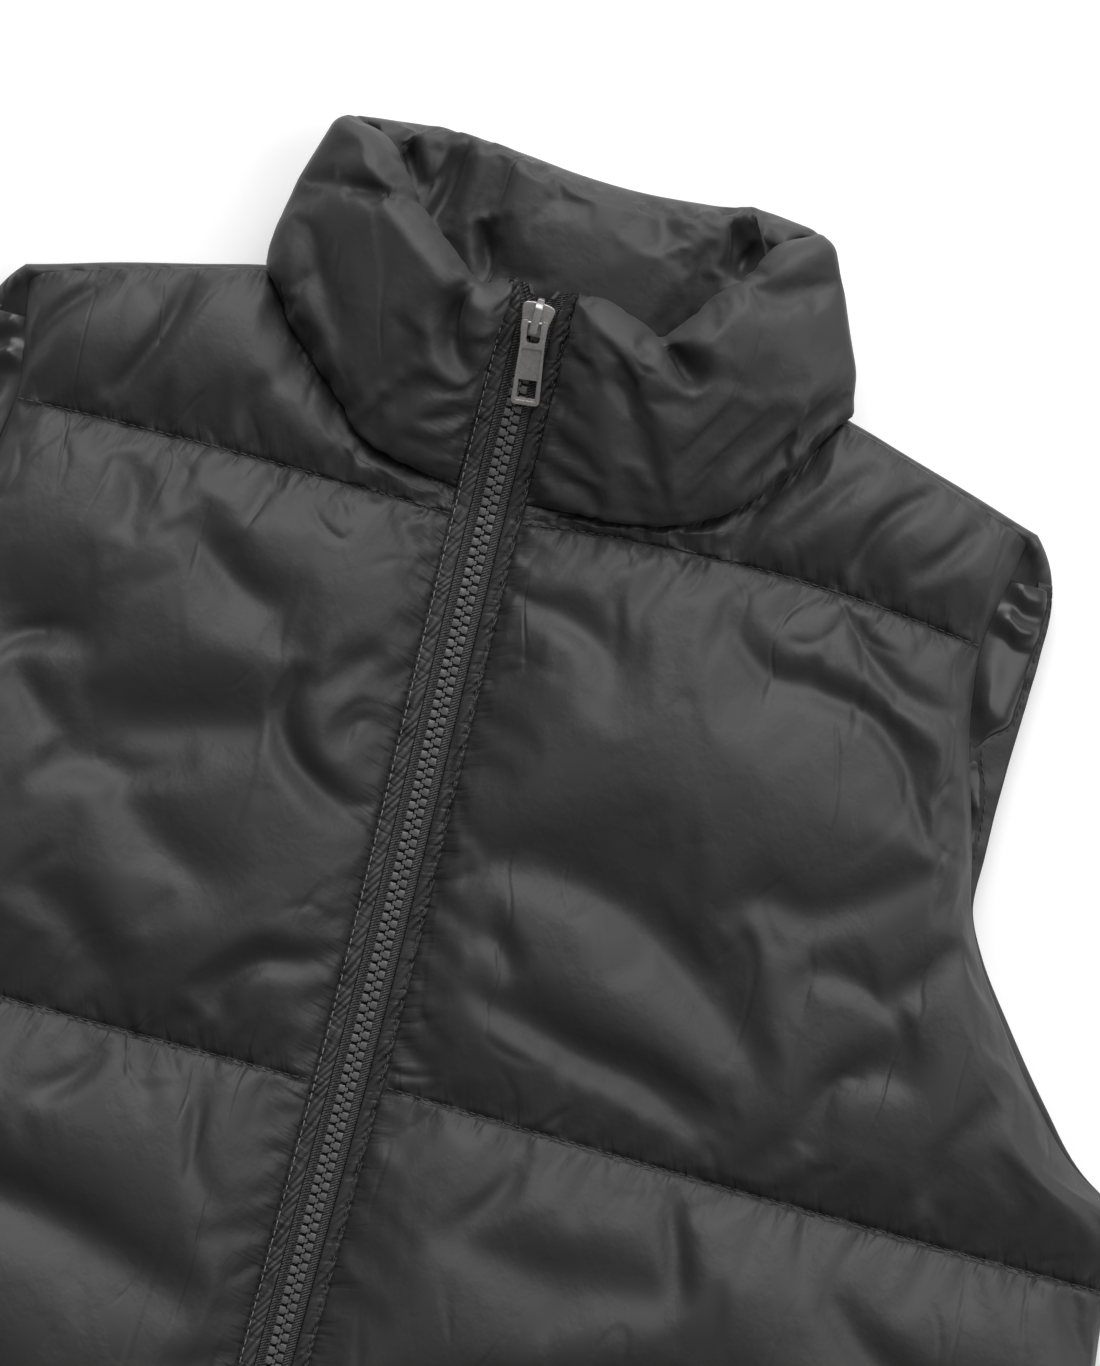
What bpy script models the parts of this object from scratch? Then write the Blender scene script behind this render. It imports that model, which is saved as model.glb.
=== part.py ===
"""A quilted, padded vest lying on its back, zipped to the top of a padded stand collar.

X runs towards the wearer's left, Y towards the collar and Z up. The origin is on the surface that
the vest lies on, under the middle of its outline. Sizes are in millimetres until a mesh is made.
"""

import math

import bmesh
import bpy
import numpy as np
from mathutils import Vector

METRES = 0.001
SEAM_GAP = 0.3

# Heights above the surface
BACK_INSIDE = 13.0
COLLAR_BACK_INSIDE = 15.0
FRONT_INSIDE = BACK_INSIDE + SEAM_GAP
SEAM_WALL = 5.0

# Puffs of the fronts
HEM_Y = -331.0
PUFF_RISE = 14.0
PUFF_ROUND = 42.0
PUFF_ROUND_AT_ZIP = 30.0
PUFF_ROUND_AT_SIDE = 26.0
FULL_BAFFLE = 90.0
GATHER_DEPTH = 3.0
GATHER_REACH = 12.0
GATHER_START = 3.0
GATHERS_ACROSS = 12
FRONT_COLUMNS = 32
ROWS_IN_BAFFLE = (7, 11, 14, 7)

# Zip
COLLAR_TOP_Y = 281.0
ZIP_LEAN = 5.2
ZIP_LEANS_OVER = (-20.0, 250.0)
ZIP_SINK = 1.6
TAPE_HALF = 6.3
TAPE_WALL = 0.8
TAPE_MEETS = 0.15
TAPE_SPLAY = 5.0
CHAIN_HALF = 3.1
CHAIN_HEIGHT = 1.4
PLACKET_WALL = 2.6
PLACKET_SWELL = 0.5
PLACKET_SPLAY = 0.6
STITCH_FROM_ZIP = {1.0: 12.3, -1.0: 12.7}
BOX_HALF = 4.2
BOX_LENGTH = 10.5
BOX_HEIGHT = 2.2
STOP_Y = (276.2, 279.2)
STOP_FROM_TAPE = (0.2, 1.5)
STOP_HEIGHT = 1.3

# Slider, about the pull tab's axis
SLIDER_Y = 267.4
PLATE_LOW = 1.7
PLATE_HIGH = 3.0
BOTTOM_PLATE_SHARE = 0.98
WEDGE_SINK = 0.5
BRIDGE_HALF = 1.45
SLIDER_PLATE_HALF = (
    # x, y: wide shoulders at the top, narrower at the throat
    (4.3, -5.0), (4.8, -3.4), (5.0, 0.0), (5.9, 5.0), (5.9, 6.6), (4.9, 7.9), (2.0, 8.5),
)
SLIDER_WEDGE = (
    # x, y
    (0.0, 3.4), (1.5, 6.2), (1.2, 8.2), (-1.2, 8.2), (-1.5, 6.2),
)
BRIDGE_PROFILE = (
    # y, z: the outside of the arch, then its inside
    (-4.9, 2.5), (-4.9, 4.8), (-3.8, 6.4), (6.0, 6.4), (7.4, 5.0), (7.4, 2.5),
    (5.6, 2.5), (5.6, 4.2), (5.0, 5.3), (-3.1, 5.3), (-3.5, 4.6), (-3.5, 2.5),
)

# Pull tab, from its axis down
PIN_HEIGHT = PLATE_HIGH + 1.25
PIN_HALF = 0.8
PIN_REACH = 2.9
PIN_SIDES = 12
PULL_SKEW = math.radians(7.0)
PULL_DROP = math.radians(2.6)
PULL_FOOT = -29.6
PULL_HALF_WALL = 0.8
PULL_HALF = (
    # x, y, from the foot up
    (4.1, PULL_FOOT), (5.1, PULL_FOOT + 1.0), (4.35, -8.0), (4.75, 0.4), (4.4, 0.9),
)
PULL_SLOT = (-2.4, 2.4, -7.2, 3.0, 0.9)
PULL_HOLE = (-3.3, 3.3, -27.2, -20.6, 0.3)
PULL_RECESS = (-3.5, 3.5, -20.0, -9.2, 0.5)
RECESS_FLOOR = 0.45

# The side of the body: half widths of the back, from the hem to the armhole and the shoulder
BODY_SIDE = (
    # y, back half width, front half width
    (-331.0, 272.0, 272.0),
    (-300.0, 276.5, 276.5),
    (-258.0, 277.5, 277.5),
    (-218.0, 273.5, 273.5),
    (-180.0, 280.0, 280.0),
    (-110.0, 284.0, 284.0),
    (-50.0, 284.5, 284.5),
    (-12.0, 281.5, 281.5),
    (10.0, 285.0, 285.0),
    (25.0, 262.0, 259.5),
    (45.0, 243.0, 239.0),
    (70.0, 223.0, 219.5),
    (90.0, 208.5, 206.0),
    (105.0, 201.0, 199.0),
    (124.0, 200.0, 194.0),
    (150.0, 199.5, 186.5),
    (167.0, 199.8, 181.5),
    (182.0, 200.2, 179.0),
    (200.0, 200.5, 177.5),
    (220.0, 199.5, 181.0),
    (239.0, 191.0, 184.0),
    (262.0, 190.0, 184.0),
)
UNDERARM_Y = 10.0

# The back's edge, from the surface up
BACK_EDGE = (
    # in from the outline, height
    (12.0, 0.0),
    (5.5, 1.0),
    (1.6, 3.2),
)
BACK_WIDEST_Z = 7.5
BACK_EDGE_INSET = 0.8
BACK_RIM_INSET = 1.4
SIDE_POINTS = 26
ARMHOLE_POINTS = 24
SHOULDER_POINTS = 10

# The quilting lines of each front, hem to shoulder
QUILTING = {
    # side: rows of (y at the zip, y halfway, y at the side)
    "left": ((-218.0, -219.0, -218.0), (-9.0, -12.0, -13.5), (197.5, 204.0, 197.5)),
    "right": ((-218.0, -219.0, -218.0), (-13.5, -13.0, -12.0), (194.5, 196.0, 194.5)),
}

# The neck seam and the top edge of each half of the collar, from the zip to the side
COLLAR_HALF = {
    "left": (
        # along, base x, base y, top x, top y
        (0.00, 7.0, 204.5, 7.0, 281.0),
        (0.14, 25.0, 205.8, 18.0, 280.5),
        (0.28, 44.0, 209.0, 30.0, 276.0),
        (0.42, 62.0, 213.5, 38.0, 272.5),
        (0.55, 77.0, 220.5, 46.0, 281.0),
        (0.68, 89.0, 231.5, 55.0, 294.5),
        (0.80, 98.5, 243.5, 63.0, 303.0),
        (0.90, 105.0, 253.5, 71.0, 316.0),
        (1.00, 110.0, 262.0, 84.0, 325.5),
    ),
    "right": (
        (0.00, -18.0, 204.0, -17.0, 280.5),
        (0.14, -33.0, 206.5, -24.0, 274.5),
        (0.28, -48.0, 211.0, -30.0, 277.5),
        (0.42, -60.0, 218.5, -40.0, 284.5),
        (0.55, -71.0, 227.0, -50.0, 292.5),
        (0.68, -81.0, 236.0, -57.5, 298.0),
        (0.80, -90.0, 245.0, -63.0, 307.5),
        (0.90, -97.0, 254.0, -71.0, 318.5),
        (1.00, -102.0, 262.0, -88.0, 324.0),
    ),
}
COLLAR_LIFT = 21.0
CLIMB_EASE = 0.12
COLLAR_FOOT_Y = 196.0
COLLAR_HEIGHT = 76.0
COLLAR_HALF_GIRTH = 120.0
COLLAR_ROWS = 13
COLLAR_WALL = SEAM_WALL - 1.0
COLLAR_PAD = 15.0
COLLAR_SIDE_ROLL = 11.0
COLLAR_SIDE_BULGE = 3.5
COLLAR_BACK_ROWS = 9
COLLAR_BACK_HEIGHT = 70.0
COLLAR_BACK_RIM = 9.0
COLLAR_BACK_ROUND = 10.0
COLLAR_BACK_SWELL = 2.5
COLLAR_BACK_INSET = 5.0
COLLAR_TOP_EDGE = (
    # x, y
    (-88.0, 324.0),
    (-67.0, 328.0),
    (-48.0, 329.0),
    (-28.0, 327.7),
    (-5.0, 325.4),
    (17.0, 324.6),
    (37.0, 326.0),
    (52.0, 327.7),
    (71.0, 330.5),
    (84.0, 325.5),
)
INSIDE_FOLDS = (
    # the collar's facing gathers into a ridge at each side of the neck
    ((-46.0, 327.0), (-47.0, 312.0), (-54.0, 286.0), 7.0, 8.0),
    ((-63.0, 324.0), (-60.0, 314.0), (-60.0, 296.0), 5.0, 6.0),
    ((53.0, 325.0), (52.0, 312.0), (60.0, 288.0), 6.0, 8.0),
)
BACK_NECK_POINTS = 31
BACK_NECK_DIP = 12.0
BACK_NECK_Y = 262.0
SHOULDER_END_X = 184.0
SHOULDER_TURN_Y = 232.0
SHOULDER_DROP = 23.0
SHOULDER_WRAP = 5.5

# What the open armholes show of the back
ARMHOLE_DROP = 7.0
ARMHOLE_SLOPE = 30.0
FACING_FROM_EDGE = (1.2, 5.5)
FACING_Y = (98.0, 222.0)
FACING_HEIGHT = 1.2
LINING_FROM_EDGE = (5.8, 21.0)
LINING_Y = (96.0, 217.0)
LINING_HEIGHT = 1.0
LINING_PUFF = 1.6
LINING_PUFF_LENGTH = 21.0
LINING_QUILTING_Y = 203.0

# The main folds of the puffs, as troughs along a curve through three points
FRONT_FOLDS = {
    "left": (
        # start, middle, end, half width, depth
        ((16.0, 84.0), (62.0, 96.0), (142.0, 40.0), 9.0, 5.0),
        ((18.0, 55.0), (60.0, 26.0), (134.0, -2.0), 8.5, 5.0),
        ((14.0, 18.0), (46.0, 14.0), (66.0, -12.0), 6.0, 3.0),
        ((88.0, 188.0), (108.0, 168.0), (150.0, 166.0), 7.0, 3.0),
        ((154.0, 164.0), (166.0, 144.0), (178.0, 126.0), 5.5, 3.0),
        ((110.0, 250.0), (96.0, 232.0), (82.0, 206.0), 5.0, 2.5),
        ((140.0, 250.0), (126.0, 228.0), (124.0, 206.0), 5.0, 2.5),
    ),
    "right": (
        ((-19.0, 86.0), (-40.0, 90.0), (-62.0, 118.0), 7.0, 4.0),
        ((-62.0, 118.0), (-104.0, 100.0), (-160.0, 106.0), 9.0, 5.0),
        ((-96.0, 178.0), (-86.0, 160.0), (-62.0, 146.0), 7.0, 3.5),
        ((-36.0, 8.0), (-48.0, 24.0), (-20.0, 30.0), 6.0, 3.0),
        ((-150.0, 54.0), (-128.0, 78.0), (-92.0, 88.0), 7.0, 3.5),
        ((-140.0, 248.0), (-136.0, 226.0), (-122.0, 204.0), 6.0, 3.0),
        ((-152.0, 244.0), (-176.0, 222.0), (-180.0, 204.0), 5.0, 3.0),
    ),
}
COLLAR_FOLDS = {
    "left": (
        ((38.0, 275.0), (48.0, 264.0), (56.0, 258.0), 5.0, 7.0),
        ((64.0, 220.0), (84.0, 244.0), (104.0, 272.0), 5.0, 4.0),
    ),
    "right": (
        ((-29.0, 276.0), (-35.0, 258.0), (-20.0, 240.0), 4.0, 6.0),
        ((-55.0, 293.0), (-68.0, 298.0), (-82.0, 291.0), 4.0, 4.0),
        ((-92.0, 272.0), (-78.0, 250.0), (-56.0, 232.0), 6.0, 3.5),
    ),
}
SIDES = (("left", 1.0), ("right", -1.0))


def clear_scene():
    for old in list(bpy.data.objects):
        bpy.data.objects.remove(old)


def blend(value, low, high):
    """0 below low and 1 above high, with a soft turn at both."""
    x = np.clip((value - low) / (high - low), 0.0, 1.0)
    return x * x * (3.0 - 2.0 * x)


def read_row(table, value, column):
    """A table's column read at a value of its first column, along a smooth curve."""
    rows = np.array(table, float)
    keys, wanted = rows[:, 0], rows[:, column]
    slopes = np.gradient(wanted, keys)
    value = np.clip(value, keys[0], keys[-1])
    i = np.clip(np.searchsorted(keys, value, side="right") - 1, 0, len(keys) - 2)
    step = keys[i + 1] - keys[i]
    t = (value - keys[i]) / step
    rise = wanted[i + 1] - wanted[i]
    bend_in = slopes[i] * step - rise
    bend_out = rise - slopes[i + 1] * step
    return wanted[i] + t * rise + t * (1 - t) * ((1 - t) * bend_in + t * bend_out)


def crown(distance, reach):
    """A quarter round: 0 at a seam and 1 from that reach on."""
    x = 1.0 - np.clip(distance / reach, 0.0, 1.0)
    return np.sqrt(1.0 - x * x)


def crowded(count, amount=0.5):
    """Shares from 0 to 1, closer together at both ends by that amount."""
    even = np.linspace(0.0, 1.0, count)
    return (1.0 - amount) * even + amount * (1.0 - np.cos(np.pi * even)) / 2.0


def zip_x(y):
    """The zip's middle leans a little towards the wearer's right at the top."""
    return -ZIP_LEAN * blend(y, *ZIP_LEANS_OVER)


def climb(y):
    """How far the front of the collar has risen from the back at that y."""
    along = np.clip((y - COLLAR_FOOT_Y) / (COLLAR_TOP_Y - COLLAR_FOOT_Y), 0.0, 1.6)
    return COLLAR_LIFT * (1.0 + CLIMB_EASE) * along * along / (along + CLIMB_EASE)


def zip_z(y):
    """The zip lies on the back as far as the neck seam and climbs with the collar from there."""
    return FRONT_INSIDE + ZIP_SINK + climb(y)


def zip_stations(low, high):
    """The y values at which everything along the zip has its points."""
    flat = np.arange(HEM_Y, COLLAR_FOOT_Y - 10.0, 22.0)
    climbing = np.arange(COLLAR_FOOT_Y - 6.0, COLLAR_TOP_Y + 6.0, 6.0)
    every = np.concatenate([flat, climbing])
    return np.concatenate([[low], every[(every > low + 1.0) & (every < high - 1.0)], [high]])


def stitch_x(side, y):
    """Where the placket's outer edge is sewn to the front."""
    return zip_x(y) + side * STITCH_FROM_ZIP[side]


def fold_depth(folds, x, y):
    """How deep the folds press a surface in at its points."""
    depth = np.zeros_like(x)
    t = np.linspace(0.0, 1.0, 25)[:, None]
    for start, middle, end, half_width, deepest in folds:
        a, b, c = (np.array(p, float) for p in (start, middle, end))
        line = (1 - t) ** 2 * a + 2 * t * (1 - t) * b + t**2 * c
        away = np.hypot(x[..., None] - line[:, 0], y[..., None] - line[:, 1])
        nearest = away.argmin(axis=-1)
        fade = np.sin(np.pi * np.clip(nearest / 24.0, 0.08, 0.92)) ** 0.5
        depth = np.maximum(depth, deepest * fade * np.exp(-((away.min(axis=-1) / half_width) ** 2)))
    return depth


def material(name, colour, roughness, metallic=0.0):
    made = bpy.data.materials.new(name)
    made.use_nodes = True
    shader = made.node_tree.nodes["Principled BSDF"]
    shader.inputs["Base Color"].default_value = (*colour, 1.0)
    shader.inputs["Roughness"].default_value = roughness
    shader.inputs["Metallic"].default_value = metallic
    made.diffuse_color = (*colour, 1.0)
    return made


def add_object(name, points, faces, finish, smooth_angle=50.0):
    """An object from points in millimetres and faces of point numbers."""
    mesh = bpy.data.meshes.new(name)
    mesh.from_pydata([tuple(METRES * float(v) for v in p) for p in points], [], faces)
    mesh.validate()
    work = bmesh.new()
    work.from_mesh(mesh)
    bmesh.ops.recalc_face_normals(work, faces=work.faces)
    work.to_mesh(mesh)
    work.free()
    mesh.shade_smooth()
    mesh.set_sharp_from_angle(angle=math.radians(smooth_angle))
    mesh.materials.append(finish)
    made = bpy.data.objects.new(name, mesh)
    bpy.context.scene.collection.objects.link(made)
    return made


def grid_faces(rows, columns, first=0):
    return [
        (
            first + r * columns + c,
            first + r * columns + c + 1,
            first + (r + 1) * columns + c + 1,
            first + (r + 1) * columns + c,
        )
        for r in range(rows - 1)
        for c in range(columns - 1)
    ]


def grid_edge(rows, columns):
    """The point numbers round a grid, once round."""
    bottom = [c for c in range(columns - 1)]
    outer = [r * columns + columns - 1 for r in range(rows - 1)]
    top = [(rows - 1) * columns + c for c in range(columns - 1, 0, -1)]
    inner = [r * columns for r in range(rows - 1, 0, -1)]
    return bottom + outer + top + inner


def walls_between(first_ring, second_ring):
    count = len(first_ring)
    return [
        (first_ring[i], first_ring[(i + 1) % count], second_ring[(i + 1) % count], second_ring[i])
        for i in range(count)
    ]


def flat_backed(name, outside, inside_z, finish):
    """A solid with a shaped outside, given as a grid of points, over one flat inside."""
    rows, columns = outside.shape[:2]
    edge = grid_edge(rows, columns)
    upper = outside.reshape(-1, 3)
    lower = upper[edge].copy()
    lower[:, 2] = inside_z
    ring = [len(upper) + i for i in range(len(edge))]
    faces = grid_faces(rows, columns) + walls_between(edge, ring) + [tuple(ring)]
    return add_object(name, np.vstack([upper, lower]), faces, finish)


def two_sided(name, outside, inside, finish, smooth_angle=50.0):
    """A solid between two grids of points with the same rows and columns."""
    rows, columns = outside.shape[:2]
    edge = grid_edge(rows, columns)
    count = rows * columns
    under = [tuple(count + i for i in reversed(face)) for face in grid_faces(rows, columns)]
    rim = walls_between(edge, [count + i for i in edge])
    points = np.vstack([outside.reshape(-1, 3), inside.reshape(-1, 3)])
    return add_object(name, points, grid_faces(rows, columns) + under + rim, finish, smooth_angle)


def stacked_rings(name, rings, finish):
    """A solid from rings of points, one above another, closed at both ends by a flat face."""
    count = len(rings[0])
    numbers = [[r * count + i for i in range(count)] for r in range(len(rings))]
    faces = [tuple(reversed(numbers[0])), tuple(numbers[-1])]
    for lower, upper in zip(numbers, numbers[1:]):
        faces += walls_between(lower, upper)
    return add_object(name, np.vstack(rings), faces, finish)


def neck_y(side_name, x):
    """The front neck seam's y at that x, from the collar's own table."""
    rows = sorted((abs(row[1]), row[2]) for row in COLLAR_HALF[side_name])
    return read_row(rows, abs(x), 1)


def shoulder_y(side_name, x):
    neck = abs(COLLAR_HALF[side_name][-1][1])
    run = (abs(x) - neck) / (SHOULDER_END_X - neck)
    return BACK_NECK_Y - SHOULDER_DROP * np.clip(run, 0.0, 1.2) ** 1.15


def front_top_y(side_name, across, side):
    """The y of a front's top edge: the neck seam, then the shoulder seam."""
    start = stitch_x(side, 204.0)
    x = start + across * (side * SHOULDER_END_X - start)
    neck = abs(COLLAR_HALF[side_name][-1][1])
    return np.where(np.abs(x) < neck, neck_y(side_name, x), shoulder_y(side_name, x))


def quilting_y(side_name, line, across):
    at_zip, halfway, at_side = QUILTING[side_name][line]
    straight = at_zip + across * (at_side - at_zip)
    return straight + 4.0 * across * (1.0 - across) * (halfway - (at_zip + at_side) / 2.0)


def front_outside(side_name, side):
    """The grid of a front's outer points, with its puffs, gathers and main folds."""
    across = crowded(FRONT_COLUMNS)
    lines = [np.full_like(across, HEM_Y)]
    lines += [quilting_y(side_name, i, across) for i in range(3)]
    lines.append(front_top_y(side_name, across, side))
    grid = []
    for baffle, count in enumerate(ROWS_IN_BAFFLE):
        low, high = lines[baffle], lines[baffle + 1]
        last = baffle == len(ROWS_IN_BAFFLE) - 1
        for part in crowded(count + 1, 0.55)[: count + last]:
            y = low + part * (high - low) - SEAM_GAP * last * part
            inner = stitch_x(side, y) + side * SEAM_GAP
            outer = side * read_row(BODY_SIDE, y, 2)
            x = inner + across * (outer - inner)
            to_line = np.minimum(y - low, high - y)
            room = np.clip((high - low) / FULL_BAFFLE, 0.25, 1.0)
            puff = crown(to_line, PUFF_ROUND * room) * crown(np.abs(x - inner), PUFF_ROUND_AT_ZIP)
            puff = puff * crown(np.abs(outer - x), PUFF_ROUND_AT_SIDE)
            gathers = np.sin(2 * np.pi * GATHERS_ACROSS * across + 1.7 * baffle + side)
            gathers = gathers * np.exp(-to_line / GATHER_REACH) * (1 - np.exp(-to_line / GATHER_START))
            pressed = fold_depth(FRONT_FOLDS[side_name], x, y) * np.minimum(puff * 1.5, 1.0)
            z = FRONT_INSIDE + SEAM_WALL + PUFF_RISE * np.sqrt(room) * puff
            grid.append(np.stack([x, y, z + GATHER_DEPTH * gathers - pressed], axis=-1))
    return np.array(grid)


def make_front(side_name, side, finish):
    return flat_backed(f"front_{side_name}", front_outside(side_name, side), FRONT_INSIDE, finish)


def back_neck():
    """The points of the back neck seam, from the wearer's right to the left."""
    right, left = (COLLAR_HALF[name][-1][1] for name in ("right", "left"))
    x = np.linspace(right, left, BACK_NECK_POINTS)
    from_middle = (x - (left + right) / 2.0) / ((left - right) / 2.0)
    return np.stack([x, BACK_NECK_Y - BACK_NECK_DIP * (1.0 - from_middle**2)], axis=-1)


def back_outline():
    """The back's outline, once round from the wearer's right at the hem, with the shoulders' wrap."""
    side_y = np.concatenate([
        np.linspace(HEM_Y, UNDERARM_Y, SIDE_POINTS),
        np.linspace(UNDERARM_Y + 8.0, SHOULDER_TURN_Y, ARMHOLE_POINTS),
    ])
    side_x = read_row(BODY_SIDE, side_y, 1)
    halves = []
    for name, side in SIDES:
        neck = abs(COLLAR_HALF[name][-1][1])
        x = np.linspace(SHOULDER_END_X + 3.0, neck + 1.5, SHOULDER_POINTS)
        y = shoulder_y(name, x) + SHOULDER_WRAP * blend(x, neck, neck + 18.0)
        half = np.vstack([np.stack([side_x, side_y], axis=-1), np.stack([x, y], axis=-1)])
        halves.append(half * (side, 1.0))
    left, right = halves
    return np.vstack([left, back_neck()[::-1], right[::-1]])


def inset(outline, amount):
    """The outline moved inwards, point by point."""
    ahead = np.roll(outline, -1, axis=0) - np.roll(outline, 1, axis=0)
    inward = np.stack([-ahead[:, 1], ahead[:, 0]], axis=-1)
    inward /= np.linalg.norm(inward, axis=1)[:, None]
    return outline + inward * np.asarray(amount)[..., None]


def at_height(outline, z):
    return np.column_stack([outline, np.broadcast_to(z, len(outline))])


def make_back(finish):
    """The back: flat where it lies on the surface, rounded at its edge, thinner along the armholes."""
    outline = back_outline()
    y = outline[:, 1]
    in_armhole = blend(y, 40.0, 90.0) * (1.0 - blend(y, 228.0, 240.0))
    in_armhole = in_armhole * (np.abs(outline[:, 0]) > 150.0)
    edge_z = BACK_INSIDE - ARMHOLE_DROP * in_armhole
    rings = [at_height(inset(outline, amount), z) for amount, z in BACK_EDGE]
    rings += [
        at_height(outline, np.minimum(BACK_WIDEST_Z, edge_z - 1.0)),
        at_height(inset(outline, BACK_EDGE_INSET), edge_z),
        at_height(inset(outline, BACK_RIM_INSET + ARMHOLE_SLOPE * in_armhole), BACK_INSIDE),
    ]
    return stacked_rings("back", rings, finish)


def make_collar_back(finish):
    """The back of the collar, which lies on the surface from the back neck seam to its top edge."""
    base_x, base_y = back_neck().T
    base_y = base_y + SEAM_GAP
    along = np.linspace(-1.0, 1.0, len(base_x))
    ends = (COLLAR_TOP_EDGE[0][0], COLLAR_TOP_EDGE[-1][0])
    top_x = (ends[0] + ends[1] + along * (ends[1] - ends[0])) / 2.0
    top_y = read_row(COLLAR_TOP_EDGE, top_x, 1)
    up = np.linspace(0.0, 1.0, COLLAR_BACK_ROWS)[:, None]
    bulge = COLLAR_SIDE_BULGE * np.sin(np.pi * up) * along**5
    x = base_x + up * (top_x - base_x) + bulge
    y = base_y + up * (top_y - base_y)
    to_top = (1.0 - up) * COLLAR_BACK_HEIGHT
    to_edge = np.minimum(up * COLLAR_BACK_HEIGHT, to_top)
    to_side = (1.0 - np.abs(along)) * 90.0 + 0.0 * up
    rise = crown(np.where(up > 0.5, np.minimum(to_top, to_side), to_side), COLLAR_BACK_ROUND)
    inner_z = COLLAR_BACK_RIM + (COLLAR_BACK_INSIDE - COLLAR_BACK_RIM) * rise
    inner_z = inner_z + COLLAR_BACK_SWELL * blend(to_edge, 4.0, 24.0) * blend(to_side, 40.0, 70.0)
    inner_z = inner_z + fold_depth(INSIDE_FOLDS, x, y) * blend(to_edge, 0.0, 6.0)
    turned = COLLAR_BACK_INSET * (1.0 - crown(np.minimum(to_side, to_top), COLLAR_BACK_ROUND))
    lower = np.stack([x - turned * np.sign(along), y - turned * (up > 0.5), 0.0 * x], axis=-1)
    upper = np.stack([x, y, inner_z], axis=-1)
    return two_sided("collar_back", upper, lower, finish)


def neck_seam(side_name, side):
    """The front neck seam's points, which are the front's own, and how far along the seam each is."""
    table = np.array(COLLAR_HALF[side_name])
    front_edge = front_outside(side_name, side)[-1, :, :2]
    on_neck = front_edge[np.abs(front_edge[:, 0]) < abs(table[-1, 1]) - 1.0]
    base = np.vstack([on_neck, table[-1, 1:3]])
    return base, np.interp(np.abs(base[:, 0]), np.abs(table[:, 1]), table[:, 0])


def collar_grids(side_name, side):
    """Outer and inner points of one front half of the collar."""
    table = COLLAR_HALF[side_name]
    base, s = neck_seam(side_name, side)
    top = np.stack([read_row(table, s, 3), read_row(table, s, 4)], axis=-1)
    t = crowded(COLLAR_ROWS)[:, None]
    x = base[:, 0] + t * (top[:, 0] - base[:, 0])
    y = base[:, 1] + t * (top[:, 1] - base[:, 1]) + 2.0 * SEAM_GAP * (1.0 - t)
    x = x + side * COLLAR_SIDE_BULGE * np.sin(np.pi * t) * s**6
    to_placket = stitch_x(side, y[:, :1]) + side * SEAM_GAP - x[:, :1]
    x = x + to_placket * (1.0 - s) ** 4
    to_side = (1.0 - s) * COLLAR_HALF_GIRTH + 0.0 * t
    to_base = t * COLLAR_HEIGHT + 0.0 * s
    to_top = COLLAR_HEIGHT - to_base
    on_back = COLLAR_BACK_INSIDE + SEAM_GAP - FRONT_INSIDE
    lift = on_back * blend(to_base, 0.0, 18.0) * blend(s, 0.6, 1.0)
    lift = lift + (climb(y) - lift) * blend(to_side, 4.0, 60.0)
    inner_z = FRONT_INSIDE + lift
    pad = COLLAR_PAD * crown(to_base, 26.0) * (0.35 + 0.65 * crown(to_top, 16.0))
    pad = pad * crown(COLLAR_HALF_GIRTH - to_side, 20.0) * (0.25 + 0.75 * crown(to_side, 20.0))
    roll = COLLAR_SIDE_ROLL * blend(s, 0.45, 0.85) * crown(to_side, 22.0) * blend(to_base, 8.0, 40.0)
    pressed = fold_depth(COLLAR_FOLDS[side_name], x, y)
    outer_z = inner_z + COLLAR_WALL + np.maximum(pad + roll - pressed, 0.4 * pad)
    return np.stack([x, y, outer_z], axis=-1), np.stack([x, y, inner_z], axis=-1)


def make_collar_half(side_name, side, finish):
    outer, inner = collar_grids(side_name, side)
    return two_sided(f"collar_{side_name}", outer, inner, finish)


def strip_along_zip(name, y_from, y_to, inner_x, outer_x, heights, finish, crowned=0.0):
    """A strip along the zip, between two heights over the zip's middle."""
    y = zip_stations(y_from, y_to)
    share = np.linspace(0.0, 1.0, 5 if crowned else 2)[:, None]
    x = inner_x(y) + share * (outer_x(y) - inner_x(y))
    yy = np.broadcast_to(y, x.shape)
    z = zip_z(yy)
    swell = crowned * np.sin(np.pi * share) + 0.0 * x
    outer = np.stack([x, yy, z + heights[1] + swell], axis=-1)
    inner = np.stack([x, yy, z + heights[0]], axis=-1)
    return two_sided(name, outer, inner, finish)


def splay(y):
    """The two halves of the zip part above the slider."""
    return TAPE_SPLAY * blend(y, SLIDER_Y + 2.0, COLLAR_TOP_Y + 1.0)


def make_zip_side(side_name, side, shell, tape):
    """One side's placket and its half of the tape, which lies in the gap between the plackets."""
    strip_along_zip(
        f"placket_{side_name}", HEM_Y, COLLAR_TOP_Y - 0.5,
        lambda y: zip_x(y) + side * (TAPE_HALF + SEAM_GAP + PLACKET_SPLAY * splay(y)),
        lambda y: stitch_x(side, y),
        (-ZIP_SINK, PLACKET_WALL - ZIP_SINK), shell, PLACKET_SWELL,
    )
    strip_along_zip(
        f"zip_tape_{side_name}", HEM_Y + 1.0, COLLAR_TOP_Y - 1.5,
        lambda y: zip_x(y) + side * (TAPE_MEETS + splay(y)),
        lambda y: zip_x(y) + side * (TAPE_HALF + PLACKET_SPLAY * splay(y)),
        (-TAPE_WALL - SEAM_GAP, -SEAM_GAP), tape,
    )


def outline_prism(name, outline, low, high, finish):
    lower = np.column_stack([outline, np.full(len(outline), low)])
    upper = np.column_stack([outline, np.full(len(outline), high)])
    return stacked_rings(name, [lower, upper], finish)


def union(first, *others):
    """Joins the others to the first object and leaves them out of the part."""
    for other in others:
        other.hide_render = True
        other.display_type = "WIRE"
        join = first.modifiers.new("join_" + other.name, "BOOLEAN")
        join.operation = "UNION"
        join.object = other


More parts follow.
